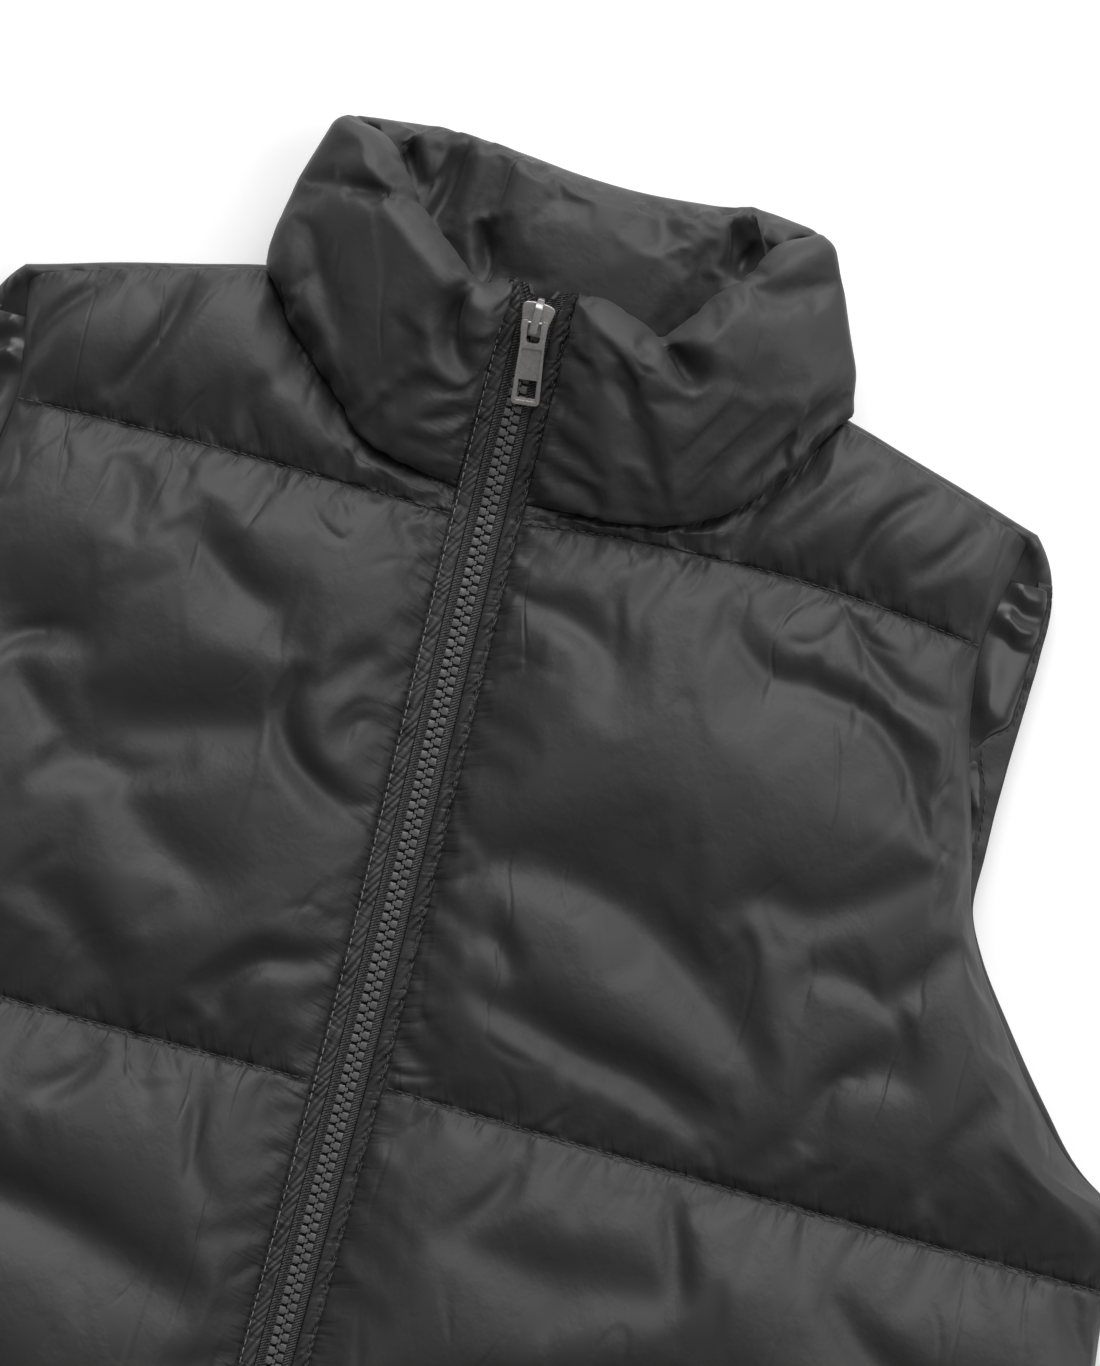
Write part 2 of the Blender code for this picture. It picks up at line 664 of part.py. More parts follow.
def cut(first, *cutters):
    for cutter in cutters:
        cutter.hide_render = True
        cutter.display_type = "WIRE"
        slot = first.modifiers.new("cut_" + cutter.name, "BOOLEAN")
        slot.operation = "DIFFERENCE"
        slot.object = cutter


def box_outline(left, right, bottom, top, corner=0.0):
    """A rectangle with chamfered corners, once round."""
    c = corner
    if not c:
        return np.array([(left, bottom), (right, bottom), (right, top), (left, top)])
    return np.array([
        (left + c, bottom), (right - c, bottom), (right, bottom + c), (right, top - c),
        (right - c, top), (left + c, top), (left, top - c), (left, bottom + c),
    ])


def mirrored(half):
    """A whole outline from its half at +X."""
    return np.array(half + tuple((-x, y) for x, y in reversed(half)))


def slider_frame():
    """An empty on the zip at the pull tab's axis, turned to the zip's slope."""
    rise = zip_z(SLIDER_Y + 0.5) - zip_z(SLIDER_Y - 0.5)
    frame = bpy.data.objects.new("slider_frame", None)
    frame.location = Vector((zip_x(SLIDER_Y), SLIDER_Y, zip_z(SLIDER_Y))) * METRES
    frame.rotation_euler = (math.atan(rise), 0.0, 0.0)
    bpy.context.scene.collection.objects.link(frame)
    return frame


def make_slider(frame, metal):
    """Two plates round the teeth, a wedge between the halves and the bridge over the pull's pin."""
    shield = mirrored(SLIDER_PLATE_HALF)
    top_plate = outline_prism("zip_slider", shield, PLATE_LOW, PLATE_HIGH, metal)
    bottom_plate = outline_prism(
        "slider_bottom", shield * BOTTOM_PLATE_SHARE, -PLATE_HIGH, -PLATE_LOW, metal
    )
    wedge_half = PLATE_LOW + WEDGE_SINK
    wedge = outline_prism("slider_wedge", np.array(SLIDER_WEDGE), -wedge_half, wedge_half, metal)
    sides = [np.array([(x, y, z) for y, z in BRIDGE_PROFILE]) for x in (-BRIDGE_HALF, BRIDGE_HALF)]
    bridge = stacked_rings("slider_bridge", sides, metal)
    union(top_plate, bottom_plate, wedge, bridge)
    for piece in (top_plate, bottom_plate, wedge, bridge):
        piece.parent = frame
    return top_plate


def make_pull(frame, metal):
    """The pull tab: two arms either side of the bridge, a pin under it, a plate and a square hole."""
    hinge = bpy.data.objects.new("pull_hinge", None)
    hinge.location = Vector((0.0, 0.0, PIN_HEIGHT)) * METRES
    hinge.rotation_euler = (PULL_DROP, 0.0, PULL_SKEW)
    hinge.parent = frame
    bpy.context.scene.collection.objects.link(hinge)
    tab = outline_prism("pull_tab", mirrored(PULL_HALF), -PULL_HALF_WALL, PULL_HALF_WALL, metal)
    through = 2.0 * PULL_HALF_WALL
    slot = outline_prism("pull_slot", box_outline(*PULL_SLOT), -through, through, metal)
    hole = outline_prism("pull_hole", box_outline(*PULL_HOLE), -through, through, metal)
    recess = outline_prism("pull_recess", box_outline(*PULL_RECESS), RECESS_FLOOR, through, metal)
    cut(tab, slot, hole, recess)
    angles = np.linspace(0.0, 2 * math.pi, PIN_SIDES, endpoint=False)
    ring = np.stack([np.cos(angles), np.sin(angles)], axis=-1) * PIN_HALF
    rings = [np.column_stack([np.full(PIN_SIDES, x), ring]) for x in (-PIN_REACH, PIN_REACH)]
    pin = stacked_rings("pull_pin", rings, metal)
    union(tab, pin)
    for piece in (tab, slot, hole, recess, pin):
        piece.parent = hinge
    return tab


def make_chain(teeth):
    """The closed teeth, as one bar from the box to the slider's wedge."""
    return strip_along_zip(
        "zip_chain", HEM_Y + BOX_LENGTH + 1.5, SLIDER_Y + 2.6,
        lambda y: zip_x(y) - CHAIN_HALF, lambda y: zip_x(y) + CHAIN_HALF,
        (0.0, CHAIN_HEIGHT), teeth,
    )


def make_zip_box(teeth):
    y = HEM_Y + 1.0
    outline = box_outline(-BOX_HALF, BOX_HALF, y, y + BOX_LENGTH, 1.0)
    return outline_prism("zip_box", outline, zip_z(y), zip_z(y) + BOX_HEIGHT, teeth)


def make_top_stop(side_name, side, metal):
    return strip_along_zip(
        f"zip_stop_{side_name}", *STOP_Y,
        lambda y: zip_x(y) + side * (splay(y) + STOP_FROM_TAPE[0]),
        lambda y: zip_x(y) + side * (splay(y) + STOP_FROM_TAPE[1]),
        (0.0, STOP_HEIGHT), metal,
    )


def back_slope_z(from_edge):
    """The height of the back's inside near an armhole, by the distance from its edge."""
    run = np.clip((from_edge - BACK_EDGE_INSET) / ARMHOLE_SLOPE, 0.0, 1.0)
    return BACK_INSIDE - ARMHOLE_DROP * (1.0 - run)


def armhole_strip(name, side, y_range, from_edge, raised, finish):
    """A layer on the back's sloping inside along an armhole, between two distances from its edge."""
    y = np.linspace(*y_range, 29)[:, None]
    away = np.linspace(*from_edge, 6)
    x = read_row(BODY_SIDE, y, 1) - away
    y = y + 0.0 * x
    base = back_slope_z(away) + 0.0 * x + 2.0 * SEAM_GAP
    lower = np.stack([side * x, y, base], axis=-1)
    upper = np.stack([side * x, y, np.minimum(base + raised(y), BACK_INSIDE)], axis=-1)
    return two_sided(name, upper, lower, finish)


def lining_puff(y):
    """The lining's height, which falls to its quilting lines."""
    return LINING_HEIGHT + LINING_PUFF * np.abs(np.sin(np.pi * (y - LINING_QUILTING_Y) / LINING_PUFF_LENGTH))


def make_armhole_inside(side_name, side, shell, lining):
    """What the open armhole shows of the back: its facing band and, inside that, the puffed lining."""
    armhole_strip(
        f"armhole_facing_{side_name}", side, FACING_Y, FACING_FROM_EDGE,
        lambda y: FACING_HEIGHT + 0.0 * y, shell,
    )
    armhole_strip(f"back_lining_{side_name}", side, LINING_Y, LINING_FROM_EDGE, lining_puff, lining)


def make_parts():
    shell = material("shell_nylon", (0.035, 0.036, 0.038), 0.42)
    lining = material("lining_satin", (0.018, 0.018, 0.02), 0.3)
    tape = material("zip_tape_weave", (0.02, 0.02, 0.021), 0.8)
    teeth = material("zip_teeth_plastic", (0.02, 0.02, 0.022), 0.25)
    metal = material("slider_metal", (0.36, 0.33, 0.32), 0.38, 0.9)
    make_back(shell)
    make_collar_back(shell)
    for side_name, side in SIDES:
        make_front(side_name, side, shell)
        make_collar_half(side_name, side, shell)
        make_zip_side(side_name, side, shell, tape)
        make_top_stop(side_name, side, metal)
        make_armhole_inside(side_name, side, shell, lining)
    frame = slider_frame()
    make_chain(teeth)
    make_slider(frame, metal)
    make_pull(frame, metal)
    make_zip_box(teeth)


clear_scene()
make_parts()
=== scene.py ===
"""The looks of a quilted, padded vest that lies flat on its back, zipped to the top of its stand collar.

Lengths are in millimetres until a mesh is made. X runs towards the wearer's left, Y towards the collar and
Z up from the surface that the vest lies on. The padded pieces are cloth under pressure, held along their
seams.
"""

import logging
import math
from dataclasses import dataclass, field
from enum import Enum
from typing import Callable, Optional, Sequence

import bmesh
import bpy
import numpy as np
from bpy.types import ID, Material, Mesh, Node, NodeSocket, NodeTree, Object
from mathutils import Euler, Matrix, Vector


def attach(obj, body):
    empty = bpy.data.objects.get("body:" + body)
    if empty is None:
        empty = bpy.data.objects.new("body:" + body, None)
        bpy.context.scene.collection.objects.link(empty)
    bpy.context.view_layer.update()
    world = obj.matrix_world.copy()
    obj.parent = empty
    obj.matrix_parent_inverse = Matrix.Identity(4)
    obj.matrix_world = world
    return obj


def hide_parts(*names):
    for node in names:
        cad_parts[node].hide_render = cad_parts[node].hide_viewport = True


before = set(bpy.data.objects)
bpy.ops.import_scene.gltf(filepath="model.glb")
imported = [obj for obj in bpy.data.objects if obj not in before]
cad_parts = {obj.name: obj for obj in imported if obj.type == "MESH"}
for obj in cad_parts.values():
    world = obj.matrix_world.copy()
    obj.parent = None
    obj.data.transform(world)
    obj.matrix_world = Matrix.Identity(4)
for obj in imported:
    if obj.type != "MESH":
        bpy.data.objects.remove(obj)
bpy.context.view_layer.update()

METRES = 0.001
log = logging.getLogger("vest")

Array = np.ndarray
Colour = tuple[float, ...]
Outline = tuple[tuple[float, float], ...]
Faces = list[tuple[int, ...]]

BODY_SIDE = (
    # y, back half width, front half width
    (-331, 272, 272), (-300, 276.5, 276.5), (-258, 277.5, 277.5), (-218, 273.5, 273.5),
    (-180, 280, 280), (-110, 284, 284), (-50, 284.5, 284.5), (-12, 281.5, 281.5),
    (10, 285, 285), (25, 262, 259.5), (45, 243, 239), (70, 223, 219.5),
    (90, 208.5, 206), (105, 201, 199), (124, 200, 194), (150, 199.5, 186.5),
    (167, 199.8, 181.5), (182, 200.2, 179), (200, 200.5, 177.5), (220, 199.5, 181),
    (232, 195.5, 183), (239, 190, 184), (243, 186.5, 184), (262, 186, 184),
)
NECK_SEAM = {
    # x, y of the front neck seam, from the zip to the shoulder
    1: ((7, 204.5), (25, 205.8), (44, 209), (62, 213.5), (77, 220.5), (89, 231.5),
          (98.5, 243.5), (105, 253.5), (110, 262)),
    -1: ((-18, 204), (-33, 206.5), (-48, 211), (-60, 218.5), (-71, 227), (-81, 236),
           (-90, 245), (-97, 254), (-102, 262)),
}
QUILTING = {
    # y of each quilting line at the zip, halfway and at the side
    1: ((-218, -219, -218), (-9, -12, -13.5), (197.5, 204, 197.5)),
    -1: ((-218, -219, -218), (-13.5, -13, -12), (194.5, 196, 194.5)),
}


class Side(Enum):
    """The two sides of the vest, with the sign of X on each."""

    LEFT = 1
    RIGHT = -1

    @property
    def label(self) -> str:
        """The word used in the names of nodes."""
        return "left" if self is Side.LEFT else "right"


def soft_step(value: Array, low: float, high: float) -> Array:
    """0 below low and 1 above high, with a soft turn at both."""
    x = np.clip((np.asarray(value, float) - low) / (high - low), 0, 1)
    return x * x * (3 - 2 * x)


def quarter_round(distance: Array, reach: float) -> Array:
    """A quarter round: 0 at a seam and 1 from that reach on."""
    x = 1 - np.clip(np.asarray(distance, float) / reach, 0, 1)
    return np.sqrt(np.maximum(1 - x * x, 0))


def read_curve(table: Sequence[Sequence[float]], value: Array, column: int = 1) -> Array:
    """Reads a table's column along a smooth curve.

    Args:
        table: rows whose first column grows.
        value: where to read, in the first column's terms.
        column: the column that is read.

    Returns:
        The values, in the shape of value.
    """
    rows = np.array(table, float)
    keys, wanted = rows[:, 0], rows[:, column]
    slopes = np.gradient(wanted, keys)
    value = np.clip(value, keys[0], keys[-1])
    i = np.clip(np.searchsorted(keys, value, side="right") - 1, 0, len(keys) - 2)
    step = keys[i + 1] - keys[i]
    t = (value - keys[i]) / step
    rise = wanted[i + 1] - wanted[i]
    bend_in = slopes[i] * step - rise
    bend_out = rise - slopes[i + 1] * step
    return wanted[i] + t * rise + t * (1 - t) * ((1 - t) * bend_in + t * bend_out)


def crowded(count: int, amount: float = 0.5) -> Array:
    """Shares from 0 to 1, closer together at both ends by that amount."""
    even = np.linspace(0, 1, count)
    return (1 - amount) * even + amount * (1 - np.cos(np.pi * even)) / 2


def just_off(away: Array, reach: Array | float, start: float) -> Array:
    """0 on a seam, high just beside it and fading with that reach."""
    return np.exp(-away / reach) * (1 - np.exp(-away / start))


def nearness(*seams: tuple[Array, float]) -> Array:
    """How near points are to seams with their own reach, from 1 on a seam towards 0."""
    return np.maximum.reduce([np.exp(-away / reach) for away, reach in seams])


def uneven_waves(along: Array, pitch: float, seed: int) -> Array:
    """Waves of uneven length and height along a seam.

    Args:
        along: distance along the seam.
        pitch: mean distance between two turning points.
        seed: fixes the waves.

    Returns:
        Heights from -1 to 1.
    """
    draw = np.random.default_rng(seed)
    low, high = float(along.min()) - 2 * pitch, float(along.max()) + 2 * pitch
    knots = [low]
    while knots[-1] < high:
        knots.append(knots[-1] + pitch * draw.uniform(0.55, 1.5))
    heights = draw.uniform(-1, 1, len(knots))
    heights[::2] = -np.abs(heights[::2])
    heights[1::2] = np.abs(heights[1::2])
    i = np.clip(np.searchsorted(knots, along) - 1, 0, len(knots) - 2)
    k = np.array(knots)
    t = (along - k[i]) / (k[i + 1] - k[i])
    t = t * t * (3 - 2 * t)
    return heights[i] * (1 - t) + heights[i + 1] * t


def gathers(away: Array, along: Array, pitch: float, reach: float, seed: int, lean: float = 0.3) -> Array:
    """The gathers that start at a seam, each with its own height and length.

    Args:
        away: distance from the seam.
        along: distance along the seam.
        pitch: mean distance between two turning points.
        reach: mean length of a gather.
        seed: fixes the gathers.
        lean: how much the gathers lean along the seam.

    Returns:
        Heights from about -1 to 1.
    """
    place = along + lean * away
    own_reach = reach * (1.05 + 0.75 * uneven_waves(place, 1.7 * pitch, seed + 500))
    return uneven_waves(place, pitch, seed) * just_off(np.maximum(away, 0), own_reach, 0.18 * reach)


def finer(grid: Array, axis: int, closed: bool = False) -> Array:
    """The grid with a point between each two along one axis, on a smooth curve.

    Args:
        grid: an array whose axes 0 and 1 are the grid's.
        axis: the axis that gets more points.
        closed: whether the grid joins its own start along that axis.

    Returns:
        The finer grid.
    """
    g = np.moveaxis(grid, axis, 0)
    ends = (g[-1:], g[:2]) if closed else (2 * g[:1] - g[1:2], 2 * g[-1:] - g[-2:-1])
    padded = np.concatenate([ends[0], g, ends[1]])
    middle = (9 * (padded[1:-2] + padded[2:-1]) - padded[:-3] - padded[3:]) / 16
    out = np.empty((len(g) + len(middle), *g.shape[1:]))
    out[0::2], out[1::2] = g, middle
    return np.moveaxis(out, 0, axis)


def grid_quads(rows: int, columns: int, first: int = 0, closed: bool = False) -> Faces:
    """Faces of a grid of points, with rows joined round where closed."""
    last = rows if closed else rows - 1
    return [
        (first + r * columns + c, first + r * columns + c + 1,
         first + ((r + 1) % rows) * columns + c + 1, first + ((r + 1) % rows) * columns + c)
        for r in range(last) for c in range(columns - 1)
    ]


def grid_rim(rows: int, columns: int) -> list[int]:
    """Point numbers round a grid, anticlockwise."""
    bottom = list(range(columns - 1))
    outer = [r * columns + columns - 1 for r in range(rows - 1)]
    top = [(rows - 1) * columns + c for c in range(columns - 1, 0, -1)]
    inner = [r * columns for r in range(rows - 1, 0, -1)]
    return bottom + outer + top + inner


def ring_walls(upper: Sequence[int], lower: Sequence[int]) -> Faces:
    """Faces between two closed rings of points, facing out where the rings run anticlockwise."""
    n = len(upper)
    return [(upper[i], lower[i], lower[(i + 1) % n], upper[(i + 1) % n]) for i in range(n)]


def turned_over(faces: Sequence[Sequence[int]]) -> Faces:
    """The same faces, facing the other way."""
    return [tuple(reversed(face)) for face in faces]


def placed(name: str, data: ID) -> Object:
    """Puts new data into the scene as an object."""
    made = bpy.data.objects.new(name, data)
    bpy.context.scene.collection.objects.link(made)
    return made


def discard(*pieces: Object) -> None:
    """Removes helper objects with their meshes."""
    for piece in pieces:
        mesh = piece.data
        bpy.data.objects.remove(piece)
        bpy.data.meshes.remove(mesh)


def closed_body(grid: Array, rings: Sequence[Array], down: bool = False) -> tuple[Array, Faces]:
    """Closes a grid with rings that run from its rim to a lid.

    Args:
        grid: the outer face, whose rim starts the first wall.
        rings: closed rings with as many points as the rim.
        down: whether the outer face looks down.

    Returns:
        All points and faces.
    """
    rows, columns = grid.shape[:2]
    faces = grid_quads(rows, columns)
    numbers, count = grid_rim(rows, columns), rows * columns
    for ring in rings:
        new = list(range(count, count + len(ring)))
        faces += ring_walls(numbers, new)
        numbers, count = new, count + len(ring)
    faces.append(tuple(reversed(numbers)))
    return np.vstack([grid.reshape(-1, 3), *rings]), turned_over(faces) if down else faces


def new_piece(name: str, points: Array, faces: Sequence[Sequence[int]] = (), sharp: Optional[float] = None,
              finish: Optional[Material] = None, edges: Sequence[Sequence[int]] = ()) -> Object:
    """Makes an object from points in millimetres.

    Args:
        name: the piece's name.
        points: one row of x, y and z for each point.
        faces: point numbers of each face.
        sharp: edges over this angle in degrees stay sharp; all are smooth where it is None.
        finish: the material, if it has one yet.
        edges: point numbers of each edge without a face.

    Returns:
        The object, at the origin.
    """
    mesh = bpy.data.meshes.new(name)
    mesh.from_pydata((np.asarray(points, float) * METRES).tolist(), edges, faces)
    mesh.validate()
    mesh.shade_smooth()
    if sharp is not None:
        mesh.set_sharp_from_angle(angle=math.radians(sharp))
    if finish is not None:
        mesh.materials.append(finish)
    return placed(name, mesh)


def declare(piece: Object, slot: str, *nodes: str, body: str = "garment",
            fill: Optional[float] = None) -> Object:
    """Hangs a finished piece on its body and hides the part's nodes that it replaces.

    Args:
        piece: the piece.
        slot: not used.
        nodes: the nodes that it replaces.
        body: the body that it rides on.
        fill: not used.

    Returns:
        The piece.
    """
    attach(piece, body)
    if nodes:
        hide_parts(*nodes)
    return piece


def add_uv(piece: Object, u: Array, v: Array) -> None:
    """Gives each point of a piece its place along and across the cloth, in metres."""
    layer = piece.data.uv_layers.new(name="UVMap")
    corner = np.empty(len(piece.data.loops), np.int32)
    piece.data.loops.foreach_get("vertex_index", corner)
    layer.data.foreach_set("uv", np.stack([u.ravel()[corner], v.ravel()[corner]], -1).ravel() * METRES)


def inset_ring(ring: Array, amount: float) -> Array:
    """A closed anticlockwise ring of points moved inwards in plan."""
    ahead = np.roll(ring, -1, 0) - np.roll(ring, 1, 0)
    inward = np.stack([-ahead[:, 1], ahead[:, 0]], -1)
    inward /= np.maximum(np.linalg.norm(inward, axis=1), 1e-9)[:, None]
    out = ring.copy()
    out[:, :2] += inward * amount
    return out


@dataclass(frozen=True)
class Cut:
    """The vest's cut, which every piece reads."""

    hem_y: float = -331
    collar_top_y: float = 281
    collar_foot_y: float = 196
    collar_lift: float = 21
    climb_ease: float = 0.12
    front_inside: float = 13.3
    back_inside: float = 13
    seam_z: float = 18.3
    zip_sink: float = 1.6
    zip_lean: float = 5.2
    stitch_left: float = 12.3
    stitch_right: float = 12.7
    shoulder_x: float = 184
    shoulder_drop: float = 23
    neck_y: float = 262
    neck_dip: float = 12

    def zip_x(self, y: Array) -> Array:
        """The zip's middle, which leans towards the wearer's right at the top."""
        return -self.zip_lean * soft_step(y, -20, 250)

    def climb(self, y: Array) -> Array:
        """How far the collar's front has risen at that y."""
        run = (np.asarray(y, float) - self.collar_foot_y) / (self.collar_top_y - self.collar_foot_y)
        a = np.clip(run, 0, 1.6)
        return self.collar_lift * (1 + self.climb_ease) * a * a / (a + self.climb_ease)

    def zip_z(self, y: Array) -> Array:
        """The height of the zip's middle."""
        return self.front_inside + self.zip_sink + self.climb(y)

    def stitch_x(self, side: Side, y: Array) -> Array:
        """The stitched edge between placket and front."""
        reach = self.stitch_left if side is Side.LEFT else self.stitch_right
        return self.zip_x(y) + side.value * reach

    def shoulder_y(self, side: Side, x: Array) -> Array:
        """The shoulder seam's y at that x."""
        neck = abs(NECK_SEAM[side.value][-1][0])
        run = np.clip((np.abs(x) - neck) / (self.shoulder_x - neck), 0, 1.2)
        return self.neck_y - self.shoulder_drop * run ** 1.15

    def top_y(self, side: Side, x: Array) -> Array:
        """A front's top edge at that x: the neck seam, then the shoulder seam."""
        table = sorted((abs(px), py) for px, py in NECK_SEAM[side.value])
        on_neck = read_curve(table, np.abs(x))
        return np.where(np.abs(x) < table[-1][0], on_neck, self.shoulder_y(side, x))

    def quilting_y(self, side: Side, line: int, across: Array) -> Array:
        """A quilting line's y at shares across the front."""
        at_zip, halfway, at_side = QUILTING[side.value][line]
        straight = at_zip + across * (at_side - at_zip)
        return straight + 4 * across * (1 - across) * (halfway - (at_zip + at_side) / 2)

    def quilting_run(self, side: Side, line: int, share: Array) -> Array:
        """A quilting line in plan, at shares from the placket to the side."""
        y = self.quilting_y(side, line, share)
        start = self.stitch_x(side, y)
        return np.column_stack([start + share * (side.value * read_curve(BODY_SIDE, y, 2) - start), y])

    def back_neck_y(self, share: Array) -> Array:
        """The back neck seam's y at shares from the wearer's right to the left."""
        return self.neck_y - self.neck_dip * (1 - (2 * share - 1) ** 2)


CUT = Cut()


def smooth_line(points: Outline, count: int) -> Array:
    """Points at even steps of a smooth line through a few given ones."""
    given = np.array(points, float)
    run = np.concatenate([[0], np.cumsum(np.hypot(*np.diff(given, axis=0).T))])
    table = np.column_stack([run, given])
    at = np.linspace(0, run[-1], count)
    return np.stack([read_curve(table, at, 1), read_curve(table, at, 2)], -1)


def beside_line(x: Array, y: Array, line: Array, reach: float) -> tuple[Array, Array, Array]:
    """Where points lie about a line.

    Args:
        x: the points' x.
        y: the points' y.
        line: rows of x and y.
        reach: points further away are left out.

    Returns:
        A mask of the points within reach, their shares along the line and their distances to its left.
    """
    low, high = line.min(0) - reach, line.max(0) + reach
    mask = (x > low[0]) & (x < high[0]) & (y > low[1]) & (y < high[1])
    ahead = np.gradient(line, axis=0)
    ahead /= np.maximum(np.linalg.norm(ahead, axis=1), 1e-9)[:, None]
    px, py = x[mask], y[mask]
    near = ((px[:, None] - line[:, 0]) ** 2 + (py[:, None] - line[:, 1]) ** 2).argmin(axis=1)
    away_x, away_y = px - line[near, 0], py - line[near, 1]
    left = ahead[near, 0] * away_y - ahead[near, 1] * away_x
    beyond = ahead[near, 0] * away_x + ahead[near, 1] * away_y
    at_end = ((near == 0) & (beyond < 0)) | ((near == len(line) - 1) & (beyond > 0))
    step = np.hypot(*(line[1] - line[0]))
    share = np.clip((near + np.clip(beyond / step, -0.5, 0.5)) / (len(line) - 1), 0, 1)
    away = np.where(at_end, np.sign(left + 1e-12) * np.hypot(left, beyond), left)
    return mask, share, away


def unmarked(piece: Object, *names: str) -> None:
    """Stores, for the finish, that a piece has no such seams."""
    for name in names:
        seam_marks(piece, name, np.empty(0), np.empty(0), np.empty(0))


def calmed(grid: Array, seam: Array) -> Array:
    """A settled grid without its jags of a single cell; its seams stay as they are."""
    soft = grid
    for axis in (0, 1):
        lines = np.moveaxis(soft, axis, 0).copy()
        lines[1:-1] = (lines[:-2] + 2 * lines[1:-1] + lines[2:]) / 4
        soft = np.moveaxis(lines, 0, axis)
    return np.where(seam[..., None] > 0, grid, soft)


def seam_marks(piece: Object, name: str, along: Array, away: Array, row: Array) -> None:
    """Stores, for the finish, where each point lies on its nearest seam.

    Args:
        piece: the piece, whose first points are these.
        name: the attribute's name.
        along: distance along the seam in millimetres.
        away: distance from the seam in millimetres.
        row: a number that differs from seam to seam.
    """
    values = np.full((len(piece.data.vertices), 3), 99.0)
    known = np.stack([along.ravel(), away.ravel(), row.ravel()], -1)
    values[: len(known)] = known
    layer = piece.data.attributes.new(name, "FLOAT_VECTOR", "POINT")
    layer.data.foreach_set("vector", values.ravel())


def normals_of(grid: Array) -> Array:
    """Unit normals of a grid of points."""
    across = np.cross(np.gradient(grid, axis=1), np.gradient(grid, axis=0))
    return across / np.maximum(np.linalg.norm(across, axis=-1), 1e-9)[..., None]


@dataclass(frozen=True)
class Fold:
    """A soft fold: a trough along a line, wide on its left where a ridge may stand."""

    line: Outline
    half_width: float
    depth: float
    ridge: float = 0
    hold: float = 0.35
    far_side: float = 0.75

    def press(self, x: Array, y: Array) -> tuple[Array, Array]:
        """How the fold changes a surface.

        Args:
            x: the points' x.
            y: the points' y.

        Returns:
            The change in height, and how firmly the trough is held.
        """
        change, held = np.zeros_like(x), np.zeros_like(x)
        mask, share, away = beside_line(x, y, smooth_line(self.line, 60), 4 * self.half_width)
        fade = np.sin(np.pi * share) ** 0.75
        width = np.where(away > 0, self.half_width, self.far_side * self.half_width)
        inner = -self.depth * np.exp(-((away / width) ** 2))
        side = np.where(away > 0, away - 1.9 * self.half_width, 99)
        inner += self.ridge * np.exp(-((side / self.half_width) ** 2))
        change[mask] = inner * fade
        held[mask] = self.hold * fade * np.exp(-((away / (0.6 * self.half_width)) ** 2))
        return change, held


@dataclass(frozen=True)
class Crease:
    """A crisp crease: a narrow valley that tapers to both ends, with the cloth standing up beside it."""

    line: Outline
    width: float = 1.6
    depth: float = 1.6
    lip: float = 0.12

    def press(self, x: Array, y: Array) -> Array:
        """The change in height at those points."""
        change = np.zeros_like(x)
        mask, share, away = beside_line(x, y, smooth_line(self.line, 30), 5 * self.width)
        fade = np.sin(np.pi * np.clip(share, 0.03, 0.97)) ** 0.8
        off = np.abs(away)
        valley = -self.depth * np.exp(-((off / self.width) ** 1.3))
        lips = np.exp(-(((off - 2 * self.width) / (1.3 * self.width)) ** 2))
        change[mask] = (valley + self.lip * self.depth * lips * np.where(away > 0, 1, 0.6)) * fade
        return change


@dataclass(frozen=True)
class SeamPuckers:
    """The puckers that a seam draws into the cloth, of uneven length and lean."""

    spacing: tuple[float, float] = (4.5, 13)
    length: tuple[float, float] = (3.5, 20)
    lean: float = 38
    width: tuple[float, float] = (1.1, 1.9)
    depth: tuple[float, float] = (0.5, 1.5)
    lip: float = 0.25

    def press(self, x: Array, y: Array, seam: Array, side: float, seed: int) -> Array:
        """Draws puckers into one side of a seam.

        Args:
            x: the points' x.
            y: the points' y.
            seam: rows of x and y along the seam.
            side: 1 for the seam's left, -1 for its right.
            seed: fixes the puckers.

        Returns:
            The change in height.
        """
        change = np.zeros_like(x)
        mask, _, away = beside_line(x, y, seam, self.length[1])
        run = np.concatenate([[0], np.cumsum(np.hypot(*np.diff(seam, axis=0).T))])
        away = away * side
        own = np.zeros(len(away))
        px, py = x[mask], y[mask]
        draw = np.random.default_rng(seed)
        ahead = np.gradient(seam, axis=0)
        ahead /= np.linalg.norm(ahead, axis=1)[:, None]
        at = draw.uniform(0, self.spacing[1])
        while at < run[-1]:
            i = min(int(np.searchsorted(run, at)), len(seam) - 1)
            size = draw.uniform() ** 1.8
            length = self.length[0] + size * (self.length[1] - self.length[0])
            share = (0.3 + 0.7 * size) * draw.uniform(0.5, 1)
            depth = self.depth[0] + share * (self.depth[1] - self.depth[0])
            width = draw.uniform(*self.width)
            turn = math.radians(draw.uniform(-self.lean, self.lean)) + math.pi / 2 * side
            bend = draw.uniform(-0.02, 0.02)
            cos, sin = math.cos(turn), math.sin(turn)
            way = (ahead[i, 0] * cos - ahead[i, 1] * sin, ahead[i, 0] * sin + ahead[i, 1] * cos)
            dx, dy = px - seam[i, 0], py - seam[i, 1]
            close = np.nonzero((np.abs(dx) < length + 3) & (np.abs(dy) < length + 3) & (away > -0.3))[0]
            dx, dy = dx[close], dy[close]
            forth = np.maximum(dx * way[0] + dy * way[1], 0)
            off = np.abs(dy * way[0] - dx * way[1] - bend * forth ** 2)
            fade = np.clip(1 - forth / length, 0, 1) ** 0.8 * (1 - np.exp(-forth / 0.8))
            lips = self.lip * np.exp(-(((off - 2.1 * width) / (1.2 * width)) ** 2))
            own[close] += depth * (lips - np.exp(-((off / width) ** 1.3))) * fade
            at += draw.uniform(*self.spacing)
        change[mask] = own
        return change


